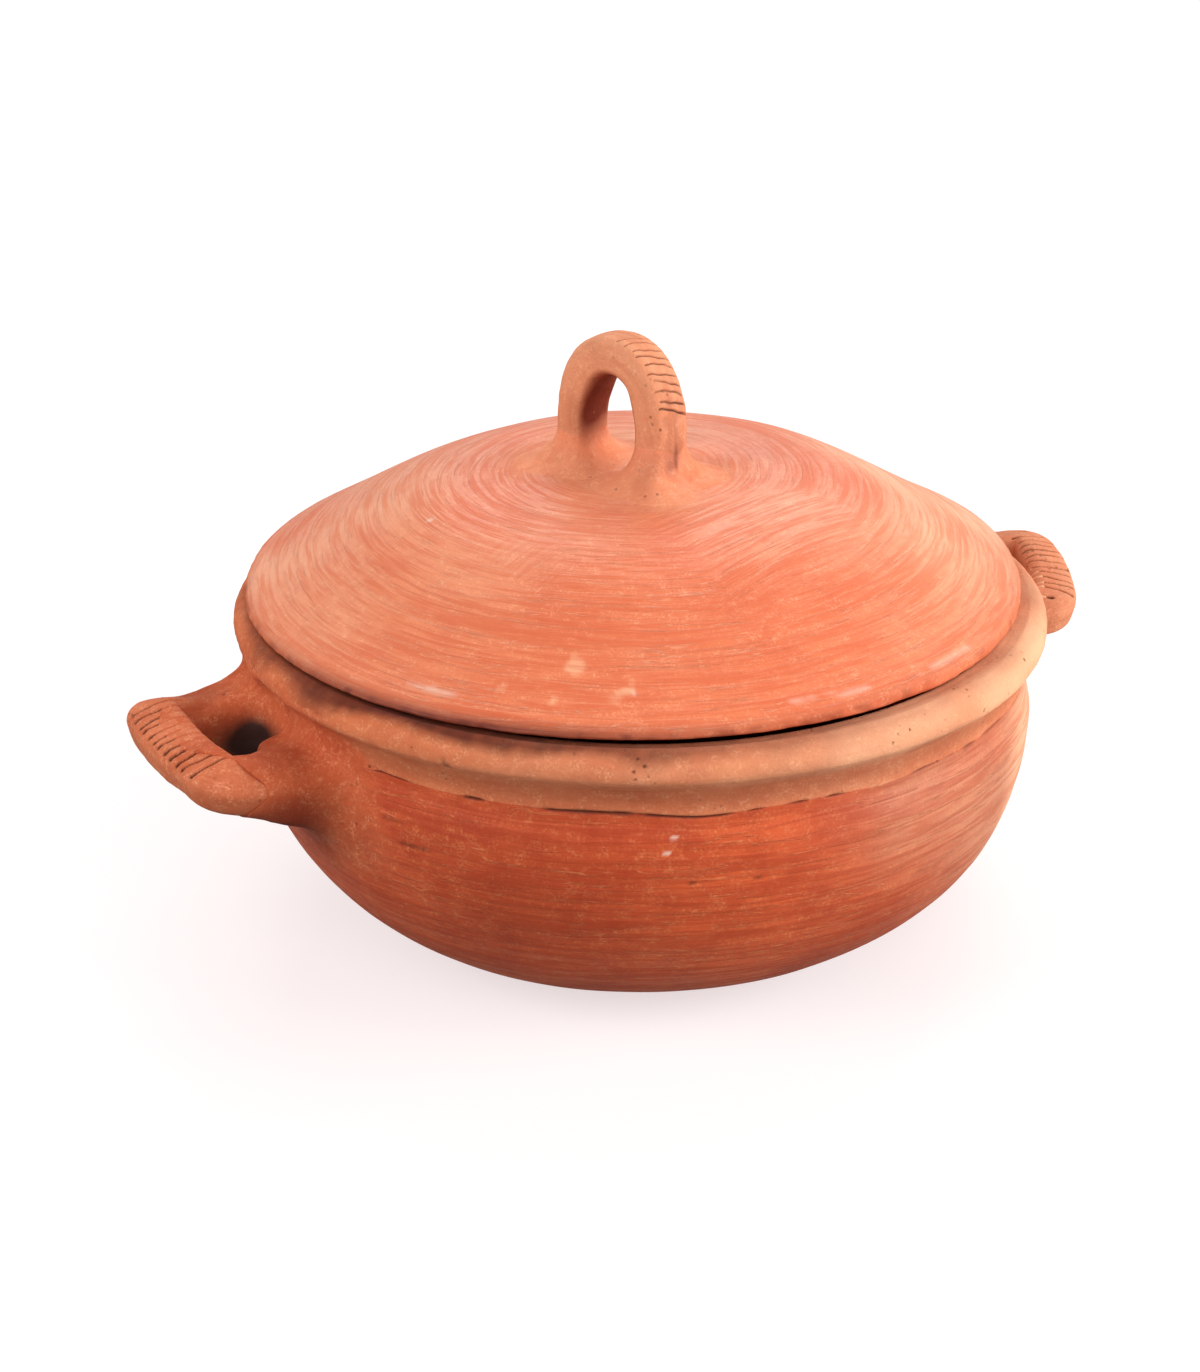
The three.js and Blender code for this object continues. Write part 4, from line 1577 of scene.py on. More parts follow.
@dataclass
class RimCoil:
    """The coil that makes the rim: an everted lip outside and a seat for the lid inside."""

    wall: PotWall
    roots: tuple[Root, ...]
    steps: int = 720
    gap: float = 1.3
    stroke: Flat = (26.0, 2.2)

    def profile(self) -> tuple[Points, int]:
        """Return the closed profile, and how many of its points are on the outside.

        Returns:
            The points and their number.
        """
        outside = paced(self.wall.rim(), seam_pace)
        seat = np.stack([np.linspace(142.5, 136.5, 14), np.full(14, RIM_TOP)], -1)
        corner = [(135.6, -0.2), (134.8, -0.7), (SEAT_INNER, -1.4), (133.9, -2.6), (133.6, -4.5)]
        below = [(133.7, 118), (133.9, 113), (134.3, 108), (NECK[0] - WALL, NECK[1])]
        inside = np.array([(radius, RIM_TOP + drop) for radius, drop in corner] + below)
        return np.vstack([outside, seat, inside]), len(outside)

    def build(self, kiln: Kiln) -> None:
        """Make the piece.

        Args:
            kiln: Makes the mesh and gives it its finish.
        """
        profile, outer = self.profile()
        grid = revolve(profile, self.steps)
        around = around_of(grid)
        outside = (np.arange(len(profile)) < outer)[:, None]
        grid[..., 2] += np.where(outside, self.wall.waver(around, grid[..., 2]), 0)
        reach = reach_of(grid)
        seam = seam_groove(self.wall, grid, around) * outside
        pinched = 0.16 * HAND.at(grid) + 0.07 * GRIT.at(grid) - 0.25
        out = np.where(outside, self.wall.swell(grid) + pinched - 0.7 * seam, 0)
        grid[..., :2] *= (1 + out / reach)[..., None]
        front = bump(turn_between(around, FRONT), 0, GAP_HALF_WIDTH)
        dip = unit((143.4 - reach) / 4.5) * (grid[..., 2] > RIM_TOP - 6)
        grid[..., 2] -= self.gap * (0.35 + front) * dip
        crown = unit((grid[..., 2] - LIP[1]) / 5) * unit((reach - 143.2) / 2)
        worn = 0.4 + 0.35 * SOFT.at(grid * 1.5) + 0.16 * HAND.at(grid) + 0.06 * GRIT.at(grid)
        grid[..., 2] -= crown * worn
        marks = {name: values.ravel() for name, values in self.marks(grid, around, reach, seam).items()}
        marks["grain"] = level_grain(grid, arc_length(profile), *self.stroke).reshape(-1, 3)
        faces = ring_faces(len(profile), self.steps, True)
        kiln.fire("rim", grid.reshape(-1, 3), faces, WIPED_RIM, Rider.POT, ("rim_coil",), marks)

    def marks(self, grid: Points, around: Points, reach: Points, seam: Points) -> dict[str, Points]:
        """Return where the rim is fire-clouded, lit, shaded, rough, dirty and smeared; the light and the
        shade are painted in.

        Args:
            grid: The rim's points.
            around: Their directions.
            reach: How far they are from the axis.
            seam: How open the seam is there.

        Returns:
            The values at the points, by name.
        """
        height = grid[..., 2]
        outside = reach > 138
        # On the right the rim is fire-clouded and rougher; its paleness there is partly painted light, where
        # the lamps fall.
        right = sector(around, RIM_CLOUD_AND_LIGHT, 1.0)
        cloud = unit(0.5 + 0.6 * SOFT.at(grid) + 0.3 * HAND.at(grid))
        smoke_and_shade = 0.22 * right * unit(HAND.at(grid * 0.7)) * (height > 112)
        # Painted shade under the lip's overhang, strongest on the front.
        neck = bump(height, 109, 5.0) * outside * (0.55 + 0.45 * np.cos(around - FRONT))
        rough = 0.35 + 0.35 * bump(height, RIM_TOP - 4, 4.0) + 0.3 * right
        smear = smeared_by(self.roots, grid) * outside
        # Painted shadow of the lid's edge on the seat, strongest on the left-front, with some grime in the
        # corner.
        seat = unit((149.2 + 0.8 * HAND.at(grid) - reach) / 3.4) * (height > 121)
        dirt_and_shade = 0.85 * seam + stamped(POT_MARKS, Stain.DIRT_AND_SHADE, grid) * outside
        left = 0.12 + 0.88 * sector(around, GROOVE_AND_SHADOW_SIDE, 0.8)
        dirt_and_shade = dirt_and_shade + 0.55 * seat * left * (0.8 + 0.25 * GRIT.at(grid))
        smoke_and_shade = smoke_and_shade + 0.42 * neck + 0.92 * seat * left
        pale_and_lit = 0.85 * right * (0.5 + 0.5 * cloud) * np.clip((height - 110) / 6, 0.3, 1)
        marks = {"smoke_and_shade": smoke_and_shade, "rough": rough, "dirt_and_shade": dirt_and_shade, "pale_and_lit": pale_and_lit, "smear": smear}
        marks = {name: unit(values) for name, values in marks.items()}
        marks["salt_and_sheen"] = stamped(POT_MARKS, Stain.SALT_AND_SHEEN, grid)
        return marks


@dataclass
class LidDome:
    """The domed lid without its loop."""

    dome: Dome
    roots: tuple[Root, ...]
    steps: int = 720
    stroke: Flat = (26.0, 1.5)
    crossing_heading: float = 17
    crossing_stroke: Flat = (24, 1.6)

    def profile(self) -> tuple[Points, int]:
        """Return the profile from the crown round the edge and back, and how many points are on top.

        Returns:
            The points and their number.
        """
        line = self.dome.outline()
        edge = bezier([SHOULDER, (LID_EDGE + 0.2, 133.0), (LID_EDGE, 128.7), (LAND[1], RIM_TOP)], 26)[1:]
        top = np.vstack([line[line[:, 0] > 3], edge])
        land = np.stack([np.linspace(LAND[1] - 1, LAND[0], 8), np.full(8, RIM_TOP)], -1)
        under_edge = (LAND[0] - 2, SHOULDER[1] - 1.5)
        pull = (under_edge[0] - SHOULDER_PULL[0], under_edge[1] + (SHOULDER_PULL[1] - 3))
        under_crown = (0, LID_TOP - LID_WALL)
        under = bezier([under_edge, pull, (CROWN_PULL - 6, under_crown[1]), under_crown], 70)
        return np.vstack([top, land, under[under[:, 0] > 3]]), len(top)

    def build(self, kiln: Kiln) -> None:
        """Make the piece.

        Args:
            kiln: Makes the mesh and gives it its finish.
        """
        profile, outer = self.profile()
        own = revolve(profile, self.steps)
        around = around_of(own)
        centre = np.array([LID_OFFSET[0], LID_OFFSET[1], 0])
        shape = own + centre
        flat = shape.copy()
        flat[..., 2] = LID_SLICE
        high = unit((own[..., 2] - RIM_TOP) / 6)
        lift = high * (self.dome.lean(own) + self.dome.unevenness * (SOFT.at(flat) - 0.4))
        facet = 0.06 * HAND.at(shape * 0.8) * high
        reach = reach_of(own)
        edge = bump(own[..., 2], 130.5, 3.0) * (reach > 138)
        broken = sector(around, LID_CHIPS, 0.36)
        nibble = edge * (0.2 * HAND.at(shape * 1.3) + 0.12 * GRIT.at(shape))
        crumbs = np.clip(0.6 * GRIT.at(shape * 0.6) + 0.5 * HAND.at(shape * 2.0), -0.4, 1.2)
        chip = edge * broken * crumbs * 0.9
        out = nibble - chip - 0.35 * edge
        shape[..., 2] += lift + facet
        front = bump(turn_between(around, FRONT), 0, GAP_HALF_WIDTH)
        raised = unit((reach - 133) / 8) * (own[..., 2] < 129.5) * front
        shape[..., 2] += 0.7 * raised
        shape[..., :2] = (shape[..., :2] - centre[:2]) * (1 + out / reach)[..., None] + centre[:2]
        crown = np.array([*LID_OFFSET, float(self.dome.height(centre[None])[0])])
        every = np.vstack([shape.reshape(-1, 3), crown, crown - [0, 0, LID_WALL]])
        faces = capped_faces(len(profile), self.steps, False)
        marks = with_ends(self.marks(shape, own, around, outer))
        level = level_grain(own, arc_length(profile), *self.stroke).reshape(-1, 3)
        marks["grain"] = np.vstack([level, np.zeros((2, 3))])
        marks["grain_across"] = self.crossing(every)
        kiln.fire("lid", every, faces, BURNISHED_LID, Rider.LID, ("lid_dome",), marks)

    def crossing(self, points: Points) -> Points:
        """Return the grain of the straight strokes that cross the level ones.

        Args:
            points: The points.

        Returns:
            Three values for each point.
        """
        heading = math.radians(self.crossing_heading)
        along = points[:, 0] * math.cos(heading) + points[:, 1] * math.sin(heading)
        across = -points[:, 0] * math.sin(heading) + points[:, 1] * math.cos(heading)
        long, wide = self.crossing_stroke
        return np.stack([along / long, across / wide, np.zeros(len(points))], -1)

    def marks(self, shape: Points, own: Points, around: Points, outer: int) -> dict[str, Points]:
        """Return where the lid is rough, pale, lit, shaded, crossed and smeared; the light and the shade are
        painted in.

        Args:
            shape: The lid's points in the pot's frame.
            own: The same before they lean, on the lid's own axis.
            around: Their directions.
            outer: How many rows are on top.

        Returns:
            The values at the points, by name.
        """
        reach = reach_of(own)
        top = (np.arange(len(own)) < outer)[:, None]
        broken = sector(around, LID_CHIPS, 0.4)
        edge = unit((134.0 - own[..., 2]) / 1.2) * (reach > 137) * top
        rough = np.where(top, unit(edge * (0.5 + 0.6 * broken)), 0.6)
        zone = sector(around, LID_CROSSED, 0.66) * bump(reach, 60, 42)
        across = unit(2.6 * zone - 0.8 + 0.7 * HAND.at(shape * 0.6)) * top
        smear = smeared_by(self.roots, shape) * top
        # Painted shade on the edge face, strongest on the left-front away from the lamps, with dark grit on
        # the rough edge.
        band = unit((135.6 - own[..., 2]) / 2.4) * (reach > 136) * top
        shaded = sector(around, LID_SHADE, 0.62)
        smoke_and_shade = band * (0.14 + 0.8 * shaded) + 0.25 * edge * unit(GRIT.at(shape * 0.7))
        # Painted light and sheen on the right and the rear; round the crown, a paler clay near the loop.
        pale_and_lit = 0.55 * sector(around, LID_LIT_RIGHT, 0.8) * unit((reach - 30) / 70)
        pale_and_lit += 0.34 * sector(around, LID_SHEEN_REAR, 0.9) * unit((reach - 20) / 60)
        pale_and_lit += 0.34 * bump(reach, 0, 62)
        pale_and_lit = pale_and_lit * (0.75 + 0.5 * np.clip(HAND.at(shape * 0.5), -1, 1)) * top * (1 - edge)
        smear = unit(smear)
        pale_and_lit = pale_and_lit + 0.5 * (LOOP_PALENESS - pale_and_lit) * smear + stamped(LID_MARKS, Stain.PALE_AND_LIT, shape) * top
        return {
            "rough": np.maximum(rough, 0.5 * smear),
            "smoke_and_shade": unit(smoke_and_shade),
            "across": across,
            "pale_and_lit": unit(pale_and_lit),
            "smear": 0.25 * smear,
            "salt_and_sheen": stamped(LID_MARKS, Stain.SALT_AND_SHEEN, shape) * top,
        }


@dataclass(frozen=True)
class TickRow:
    """A row of short cuts made with the edge of a tool."""

    width: float
    depth: float

    def cut(self, spots: Points, starts: Points, ends: Points) -> Points:
        """Return how deep the cuts go at each place on a face.

        Args:
            spots: Places on the face, as two coordinates each.
            starts: Where each cut starts.
            ends: Where it ends.

        Returns:
            The depth in millimetres, negative on the small ridges beside the cuts.
        """
        depth = np.zeros(spots.shape[:-1])
        for k, (start, end) in enumerate(zip(starts, ends)):
            way = end - start
            length = np.linalg.norm(way)
            aside = np.array([-way[1], way[0]]) / length
            share = unit(((spots - start) @ way) / length**2)
            sway = 0.28 * np.sin(5.0 * share + 2.1 * k) + 0.12 * np.sin(17 * share + 4.3 * k)
            middle = start + share[..., None] * way + sway[..., None] * aside
            gap = np.linalg.norm(spots - middle, axis=-1)
            wide = self.width * (1 + 0.18 * math.sin(7.3 * k) + 0.5 * bump(share, 0.02, 0.06))
            fade = 1.0 - 0.3 * share + 0.12 * math.sin(5.1 * k)
            valley = unit(1.15 * (1 - (gap / (wide / 2)) ** 2))
            ridge = 0.13 * bump(gap, self.width * 0.85, 0.4)
            depth = np.maximum(depth, self.depth * fade * valley) - ridge * (depth < 0.02)
        return depth


@dataclass
class Strap:
    """A strap of clay bent into a U, with its row of ticks."""

    name: str
    bent: Bent
    place: Place
    rider: Rider
    node: str
    ticks: Callable[[Points, Points], Points]
    roots: tuple[Root, ...]
    stamps: tuple[Mark, ...]
    paleness: float
    smeared: float = 1.0
    depth: float = 3.5
    around: int = 132
    stations: int = 300

    def build(self, kiln: Kiln) -> None:
        """Make the piece.

        Args:
            kiln: Makes the mesh and gives it its finish.
        """
        local = self.ended(self.bent.grid(self.around, np.linspace(0, 1, self.stations)))
        ahead = np.gradient(local, axis=0)
        beside = np.roll(local, -1, 1) - np.roll(local, 1, 1)
        outward = np.cross(beside, ahead)
        outward /= np.linalg.norm(outward, axis=-1, keepdims=True) + 1e-9
        centre = local.mean(1, keepdims=True)
        outward *= np.sign((outward * (local - centre)).sum(-1).mean())
        depth = self.ticks(local, outward)
        local = local + outward * (self.bent.uneven(local) - 0.6 - depth)[..., None]
        points = self.place.out(local)
        rings, count = points.shape[:2]
        total = rings * count
        every = np.vstack([points.reshape(-1, 3), points[0].mean(0), points[-1].mean(0)])
        faces = capped_faces(rings, count, True)
        girth = np.arange(count) / count * 2 * math.pi
        along = np.arange(rings)[:, None] / 100
        grain = np.stack(np.broadcast_arrays(along, np.cos(girth)[None] * 3, np.sin(girth)[None] * 3), -1)
        # Painted shade: dark in the ticks' cuts, and inside the bend.
        dirt_and_shade = np.concatenate([(unit((depth - 0.3) / 0.5) * 0.85).ravel(), [0, 0]])
        bend_shade = self.bent.bend_shade(self.place.back(every))
        marks = {
            "grain": np.vstack([grain.reshape(-1, 3), np.zeros((2, 3))]),
            "rough": np.full(total + 2, 0.5),
            "dirt_and_shade": unit(dirt_and_shade + stamped(self.stamps, Stain.DIRT_AND_SHADE, every)),
            "smear": self.smeared * unit(smeared_by(self.roots, every)),
            "smoke_and_shade": unit(bend_shade + stamped(self.stamps, Stain.SMOKE_AND_SHADE, every)),
            "pale_and_lit": np.full(total + 2, self.paleness),
        }
        kiln.fire(self.name, every, faces, STRAP_CLAY, self.rider, (self.node,), marks)

    def ended(self, local: Points) -> Points:
        """Pull both ends of the strap back until they lie just under the surface that it is luted to.

        Args:
            local: The swept skin in the strap's frame.

        Returns:
            The same skin with shorter straight legs.
        """
        surface = self.roots[0].surface
        straight = self.bent.leg_end + 10
        local = local.copy()
        for half in (slice(0, self.stations), slice(self.stations - 1, None)):
            leg = local[half]
            end = leg[0 if half.start == 0 else -1].copy()
            end[:, 0] = 0.0
            for _ in range(6):
                here = surface.even_distance(self.place.out(end))
                ahead = surface.even_distance(self.place.out(end + [0.5, 0, 0]))
                slope = np.maximum((ahead - here) / 0.5, 0.3)
                end[:, 0] -= np.clip((here + self.depth) / slope, -8, 8)
            start = np.minimum(end[:, 0], straight - 3)
            share = (leg[..., 0] + self.bent.buried) / (straight + self.bent.buried)
            leg[..., 0] = np.where(share < 1, start + share * (straight - start), leg[..., 0])
        return local


@dataclass
class Wad:
    """Clay smeared round a strap's root, from the wall or the dome up onto the strap."""

    name: str
    root: Root
    rider: Rider
    node: str
    finish: ClayFinish
    stamps: tuple[Mark, ...]
    paleness: float
    palest: float = 0.7
    cell: float = 0.85

    def build(self, kiln: Kiln) -> None:
        """Make the piece.

        Args:
            kiln: Makes the mesh and gives it its finish.
        """
        points, faces = follow(self.root.skin, *self.root.box(), self.cell)
        local = self.root.place.back(points)
        wall, strap, _ = self.root.parts(points)
        hollow = unit(np.minimum(wall, strap) / 4)
        # Painted shade inside the bend, fading out onto the wall.
        bend_shade = self.root.bent.bend_shade(local) * unit(wall / 3)
        marks = {
            "grain": np.stack([local[:, 0] / 22, local[:, 1] / 6, local[:, 2] / 6], -1),
            "rough": unit(0.5 + 0.35 * HAND.at(points * 1.2) * hollow),
            "smoke_and_shade": unit(bend_shade + stamped(self.stamps, Stain.SMOKE_AND_SHADE, points)),
            "pale_and_lit": np.clip(self.paleness + stamped(self.stamps, Stain.PALE_AND_LIT, points), 0, self.palest),
            "dirt_and_shade": unit(stamped(self.stamps, Stain.DIRT_AND_SHADE, points)),
            "salt_and_sheen": unit(stamped(self.stamps, Stain.SALT_AND_SHEEN, points)),
        }
        kiln.fire(self.name, points, faces, self.finish, self.rider, (self.node,), marks)


@dataclass
class Ear:
    """One ear: its strap and the wads round its two roots."""

    side: EarSide
    turn: float
    height: float
    slope: float
    yaw: float
    roll: float
    bent: Bent
    tick_count: int
    fan: float = 0.0
    paleness: float = 0.0
    pitch: float = 4.55

    def place(self) -> Place:
        """Return where the ear's frame stands.

        Returns:
            The place.
        """
        tilt = spin(Axis.Z, self.yaw) @ spin(Axis.Y, self.slope) @ spin(Axis.X, self.roll)
        round_pot = spin(Axis.Z, self.turn)
        return Place(round_pot @ tilt, round_pot @ np.array([BELLY[0], 0, self.height]))

    def roots(self, wall: PotWall) -> tuple[Root, Root]:
        """Return the front and the rear root.

        Args:
            wall: The wall that the ear stands on.

        Returns:
            Both roots.
        """
        place = self.place()
        if self.side is EarSide.RIGHT:
            return tuple(Root(self.bent, place, wall, half, 10, hole=2, under=2, wide=True)
                         for half in (-1, 1))
        corner = Slab(point=(11, 5.5, 0), normal=(0.857, -0.514, 0), aside=(-40, 27.8), height=(-4.1, 4.7))
        heel = Slab(point=(24, 0, -7), normal=(0.5, 0, -0.866), aside=(17, 35.5), height=(-15, 4))
        gusset = Slab(point=(25, 0, -6), normal=(0.8, 0, -0.6), aside=(14.8, 33), height=(-18, 0))
        ramp = Slab(point=(12.5, 0, 8), normal=(0.534, 0, 0.845), aside=(18, 37), height=(-3, 25))
        front = {"top": 1, "under": 6, "slabs": (corner, heel)}
        rear = {"outer": 5, "top": 3, "under": 4, "slabs": (gusset, ramp)}
        return (Root(self.bent, place, wall, 1, 13, hole=6, wide=True, **front),
                Root(self.bent, place, wall, -1, 13, hole=6, wide=True, **rear))

    def ticks(self, local: Points, outward: Points) -> Points:
        """Return how deep the ticks on the upper face go at each point.

        Args:
            local: Points in the strap's frame.
            outward: The directions that they face.

        Returns:
            The depths in millimetres.
        """
        line, _ = self.bent.line(0.5)
        free = line[line[:, 0] > self.bent.reach / 5]
        starts, ends = [], []
        for i in range(self.tick_count):
            y = (i - (self.tick_count - 1) / 2) * self.pitch
            middle = free[np.argmin(np.abs(free[:, 1] - y))]
            angle = self.fan * y / (self.tick_count * self.pitch / 2) + 0.05 * math.sin(3.7 * i)
            way = np.array([math.cos(angle), math.sin(angle)]) * self.bent.in_plane / 2
            starts.append(middle + way * 0.98)
            ends.append(middle - way * (0.8 + 0.07 * math.sin(2.3 * i)))
        depth = TickRow(width=1.45, depth=1.25).cut(local[..., :2], np.array(starts), np.array(ends))
        return depth * unit((outward[..., 2] - 0.3) / 0.4)

    def build(self, kiln: Kiln, wall: PotWall) -> None:
        """Make the strap and both wads.

        Args:
            kiln: Makes the meshes and gives them their finish.
            wall: The wall that the ear stands on.
        """
        roots, side = self.roots(wall), self.side.value
        Strap(f"{side}_ear", self.bent, self.place(), Rider.POT, f"ear_{side}_strap", self.ticks, roots,
              POT_MARKS, self.paleness).build(kiln)
        for where, root in zip(("front", "rear"), roots):
            Wad(f"{side}_ear_{where}_wad", root, Rider.POT, f"ear_{side}_{where}_wad", SMEARED_CLAY,
                POT_MARKS, self.paleness).build(kiln)


@dataclass
class Loop:
    """The loop on the lid: its strap and the wads round its two feet."""

    bent: Bent
    turn: float = -67.0
    origin: Flat = (-4.8, 5.9)
    tick_count: int = 10
    first: float = 0.545
    last: float = 0.775
    slant: float = 0.344
    tick_half: float = 7.6
    paleness: float = LOOP_PALENESS

    def place(self) -> Place:
        """Return where the loop's frame stands."""
        upright = np.array([[0, 1, 0], [0, 0, 1], [1, 0, 0]], float)
        return Place(spin(Axis.Z, self.turn) @ upright, np.array([*self.origin, LID_TOP]))

    def roots(self, dome: Dome) -> tuple[Root, Root]:
        """Return the front and the rear root.

        Args:
            dome: The dome that the loop stands on.

        Returns:
            Both roots.
        """
        place = self.place()
        front = Root(self.bent, place, dome, 1, 12, outer=1, top=3, under=5)
        return front, Root(self.bent, place, dome, -1, 12, outer=2, top=3, under=3)

    def ticks(self, local: Points, outward: Points) -> Points:
        """Return how deep the ticks on the front leg's outer face go at each point.

        Args:
            local: Points in the strap's frame.
            outward: The directions that they face; not used.

        Returns:
            The depths in millimetres.
        """
        line, along = self.bent.line(0.5)
        outer = line + self.bent.in_plane / 2 * np.stack([along[:, 1], -along[:, 0]], -1)
        length = arc_length(outer)
        reach = np.linspace(0, length[-1], local.shape[0])
        spots = np.stack([np.broadcast_to(reach[:, None], local.shape[:2]), local[..., 2]], -1)
        starts, ends = [], []
        for i in range(self.tick_count):
            share = self.first + (self.last - self.first) * i / (self.tick_count - 1)
            middle = share * length[-1] + 0.25 * math.sin(4.1 * i)
            half = self.tick_half + 0.8 * math.sin(2.9 * i)
            starts.append((middle + self.slant * half, half + 0.6))
            ends.append((middle - self.slant * half, 0.6 - half))
        depth = TickRow(width=0.95, depth=0.95).cut(spots, np.array(starts), np.array(ends))
        away = self.bent.side.at(local[..., 0], local[..., 1])
        return depth * unit((-away - self.bent.in_plane * 0.36) / 1.2)

    def build(self, kiln: Kiln, dome: Dome) -> None:
        """Make the strap and both wads.

        Args:
            kiln: Makes the meshes and gives them their finish.
            dome: The dome that the loop stands on.
        """
        roots = self.roots(dome)
        Strap("lid_loop", self.bent, self.place(), Rider.LID, "lid_loop_strap", self.ticks, roots, LOOP_MARKS,
              self.paleness, smeared=0.2).build(kiln)
        for where, root in zip(("front", "rear"), roots):
            Wad(f"lid_loop_{where}_wad", root, Rider.LID, f"lid_loop_{where}_wad", SMEARED_LID_CLAY,
                LOOP_MARKS, self.paleness - 0.1).build(kiln)


def direction(turn: float, rise: float) -> Points:
    """Return the direction from the pot to a lamp or a camera, by its turn and its rise in radians."""
    return np.array([math.sin(turn) * math.cos(rise), -math.cos(turn) * math.cos(rise), math.sin(rise)])


@dataclass(frozen=True)
class SoftBox:
    """A soft lamp, placed by its direction from the pot as the viewer sees it."""

    name: str
    azimuth: float
    elevation: float
    distance: float
    size: float
    watts: float
    tint: Spot = (1.0, 0.98, 0.95)

    def light(self, target: Points) -> None:
        """Add the lamp, facing the pot.

        Args:
            target: The point that it faces.
        """
        turn = math.radians(self.azimuth) + VIEW_AZIMUTH
        rise = math.radians(self.elevation)
        lamp = bpy.data.lights.new(self.name, "AREA")
        lamp.shape = "SQUARE"
        lamp.size = self.size
        lamp.energy = self.watts
        lamp.color = self.tint
        holder = bpy.data.objects.new(self.name, lamp)
        holder.location = target + direction(turn, rise) * self.distance
        holder.rotation_euler = (math.pi / 2 - rise, 0, turn)
        bpy.context.scene.collection.objects.link(holder)


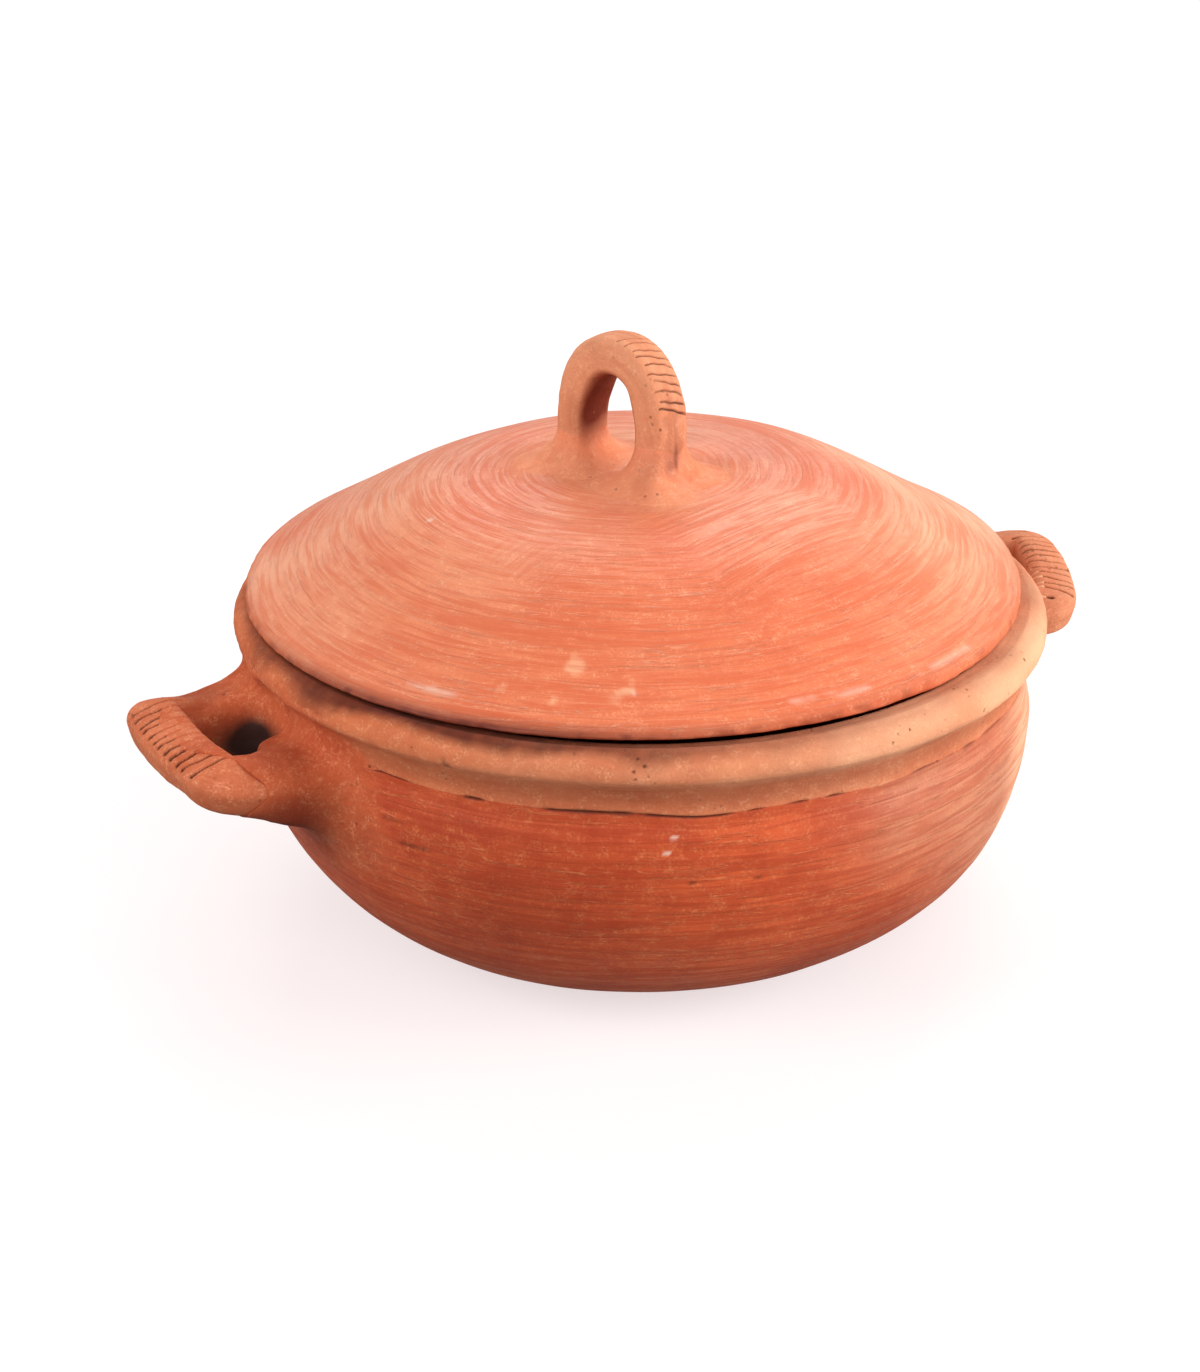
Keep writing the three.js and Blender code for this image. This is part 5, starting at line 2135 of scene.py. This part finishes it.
@dataclass
class Studio:
    """The floor, the white surroundings, the lamps and the camera."""

    elevation: float = 23.8
    distance: float = 0.960
    lens: float = 66.82
    aim: Spot = (-0.0131, 0.0067, 0.0861)
    floor_size: float = 14.0
    boxes: tuple[SoftBox, ...] = field(default_factory=lambda: (
        SoftBox("right_box", azimuth=76, elevation=14, distance=1.9, size=1.3, watts=40),
        SoftBox("back_box", azimuth=172, elevation=48, distance=2.0, size=1.6, watts=20),
        SoftBox("left_box", azimuth=-60, elevation=28, distance=2.1, size=1.2, watts=22),
        SoftBox("front_box", azimuth=6, elevation=34, distance=2.4, size=1.4, watts=18),
    ))

    def camera(self) -> None:
        """Add the camera and make it the scene's."""
        rise = math.radians(self.elevation)
        lens = bpy.data.cameras.new("camera")
        lens.lens = self.lens
        lens.sensor_width = 36.0
        lens.clip_start = 0.05
        holder = bpy.data.objects.new("camera", lens)
        holder.location = np.array(self.aim) + direction(VIEW_AZIMUTH, rise) * self.distance
        holder.rotation_euler = (math.pi / 2 - rise, 0, VIEW_AZIMUTH)
        bpy.context.scene.collection.objects.link(holder)
        bpy.context.scene.camera = holder

    def floor(self) -> None:
        """Add the white floor, which keeps the pot's shadow."""
        half = self.floor_size / 2
        mesh = bpy.data.meshes.new("floor")
        corners = [(-half, -half, 0), (half, -half, 0), (half, half, 0), (-half, half, 0)]
        mesh.from_pydata(corners, [], [(0, 1, 2, 3)])
        floor = bpy.data.objects.new("floor", mesh)
        bpy.context.scene.collection.objects.link(floor)
        material = bpy.data.materials.new("white floor")
        material.use_nodes = True
        graph = Graph(material.node_tree)
        graph.tree.nodes.clear()
        output = graph.add("ShaderNodeOutputMaterial")
        matt = graph.add("ShaderNodeBsdfDiffuse")
        # The matt part is a little cyan and the glow a little pink, so the shadow turns pink: painted red
        # light thrown back from the pot.
        matt.inputs["Color"].default_value = (0.38, 0.44, 0.44, 1)
        glow = graph.add("ShaderNodeEmission")
        glow.inputs["Color"].default_value = (1.0, 0.87, 0.88, 1)
        seen = graph.add("ShaderNodeLightPath").outputs["Is Camera Ray"]
        away = graph.add("ShaderNodeVectorMath", operation="LENGTH")
        graph.feed(away.inputs[0], graph.add("ShaderNodeTexCoord").outputs["Object"])
        white = graph.span(away.outputs["Value"], 0.5, 1.8, 0.7, 1.0)
        graph.feed(glow.inputs["Strength"], graph.times(seen, white))
        both = graph.add("ShaderNodeAddShader")
        graph.feed(both.inputs[0], matt.outputs[0])
        graph.feed(both.inputs[1], glow.outputs[0])
        graph.feed(output.inputs["Surface"], both.outputs[0])
        mesh.materials.append(material)

    def surroundings(self) -> None:
        """Make what is behind everything white, and let it light the pot softly."""
        world = bpy.data.worlds.new("studio")
        world.use_nodes = True
        graph = Graph(world.node_tree)
        graph.tree.nodes.clear()
        output = graph.add("ShaderNodeOutputWorld")
        back = graph.add("ShaderNodeBackground")
        path = graph.add("ShaderNodeLightPath").outputs
        shine = graph.times(path["Is Glossy Ray"], 0.8)
        seen = graph.math("MAXIMUM", path["Is Camera Ray"], shine)
        back.inputs["Color"].default_value = (1, 1, 1, 1)
        graph.feed(back.inputs["Strength"], graph.span(seen, 0.0, 1.0, 0.24, 1.0))
        graph.feed(output.inputs["Surface"], back.outputs[0])
        bpy.context.scene.world = world

    def build(self) -> None:
        """Set the whole studio up."""
        self.camera()
        self.floor()
        self.surroundings()
        for box in self.boxes:
            box.light(np.array([0, 0, 0.1]))
        bpy.context.scene.view_settings.view_transform = "Standard"


def main() -> None:
    """Build every piece and the studio round them."""
    logging.basicConfig(level=logging.INFO, format="%(name)s: %(message)s")
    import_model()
    kiln = Kiln()
    wall = PotWall()
    dome = Dome()
    left_strap = Bent(
        half_span=27.8, buried=24, leg_end=2, leg_pull=37.4, tip_pull=40, reach=37.4,
        in_plane=20.6, across=15.2, bevel=22.8, seed=6700,
    )
    right_strap = Bent(
        half_span=26.6, buried=24, leg_end=2, leg_pull=27, tip_pull=31.3, reach=27,
        in_plane=18.8, across=15.2, bevel=15.6, seed=150,
    )
    loop_strap = Bent(
        half_span=18.4, buried=6, leg_end=12, leg_pull=32, tip_pull=11, reach=42.4,
        in_plane=16, across=19, bevel=0, seed=400, shadiness=0.95, shaded_below=False, shade_from=0.12,
    )
    left = Ear(
        EarSide.LEFT, turn=181.9, height=93.7, slope=-11.3, yaw=3.5, roll=-2.7,
        bent=left_strap, tick_count=12,
    )
    right = Ear(
        EarSide.RIGHT, turn=-4, height=105.2, slope=-5.6, yaw=-21.5, roll=6.1,
        bent=right_strap, tick_count=13, fan=0.3, paleness=0.25,
    )
    loop = Loop(loop_strap)
    on_pot = left.roots(wall) + right.roots(wall)
    Studio().build()
    BowlShell(wall, on_pot).build(kiln)
    RimCoil(wall, on_pot).build(kiln)
    left.build(kiln, wall)
    right.build(kiln, wall)
    LidDome(dome, loop.roots(dome)).build(kiln)
    loop.build(kiln, dome)


if __name__ == "__main__":
    main()
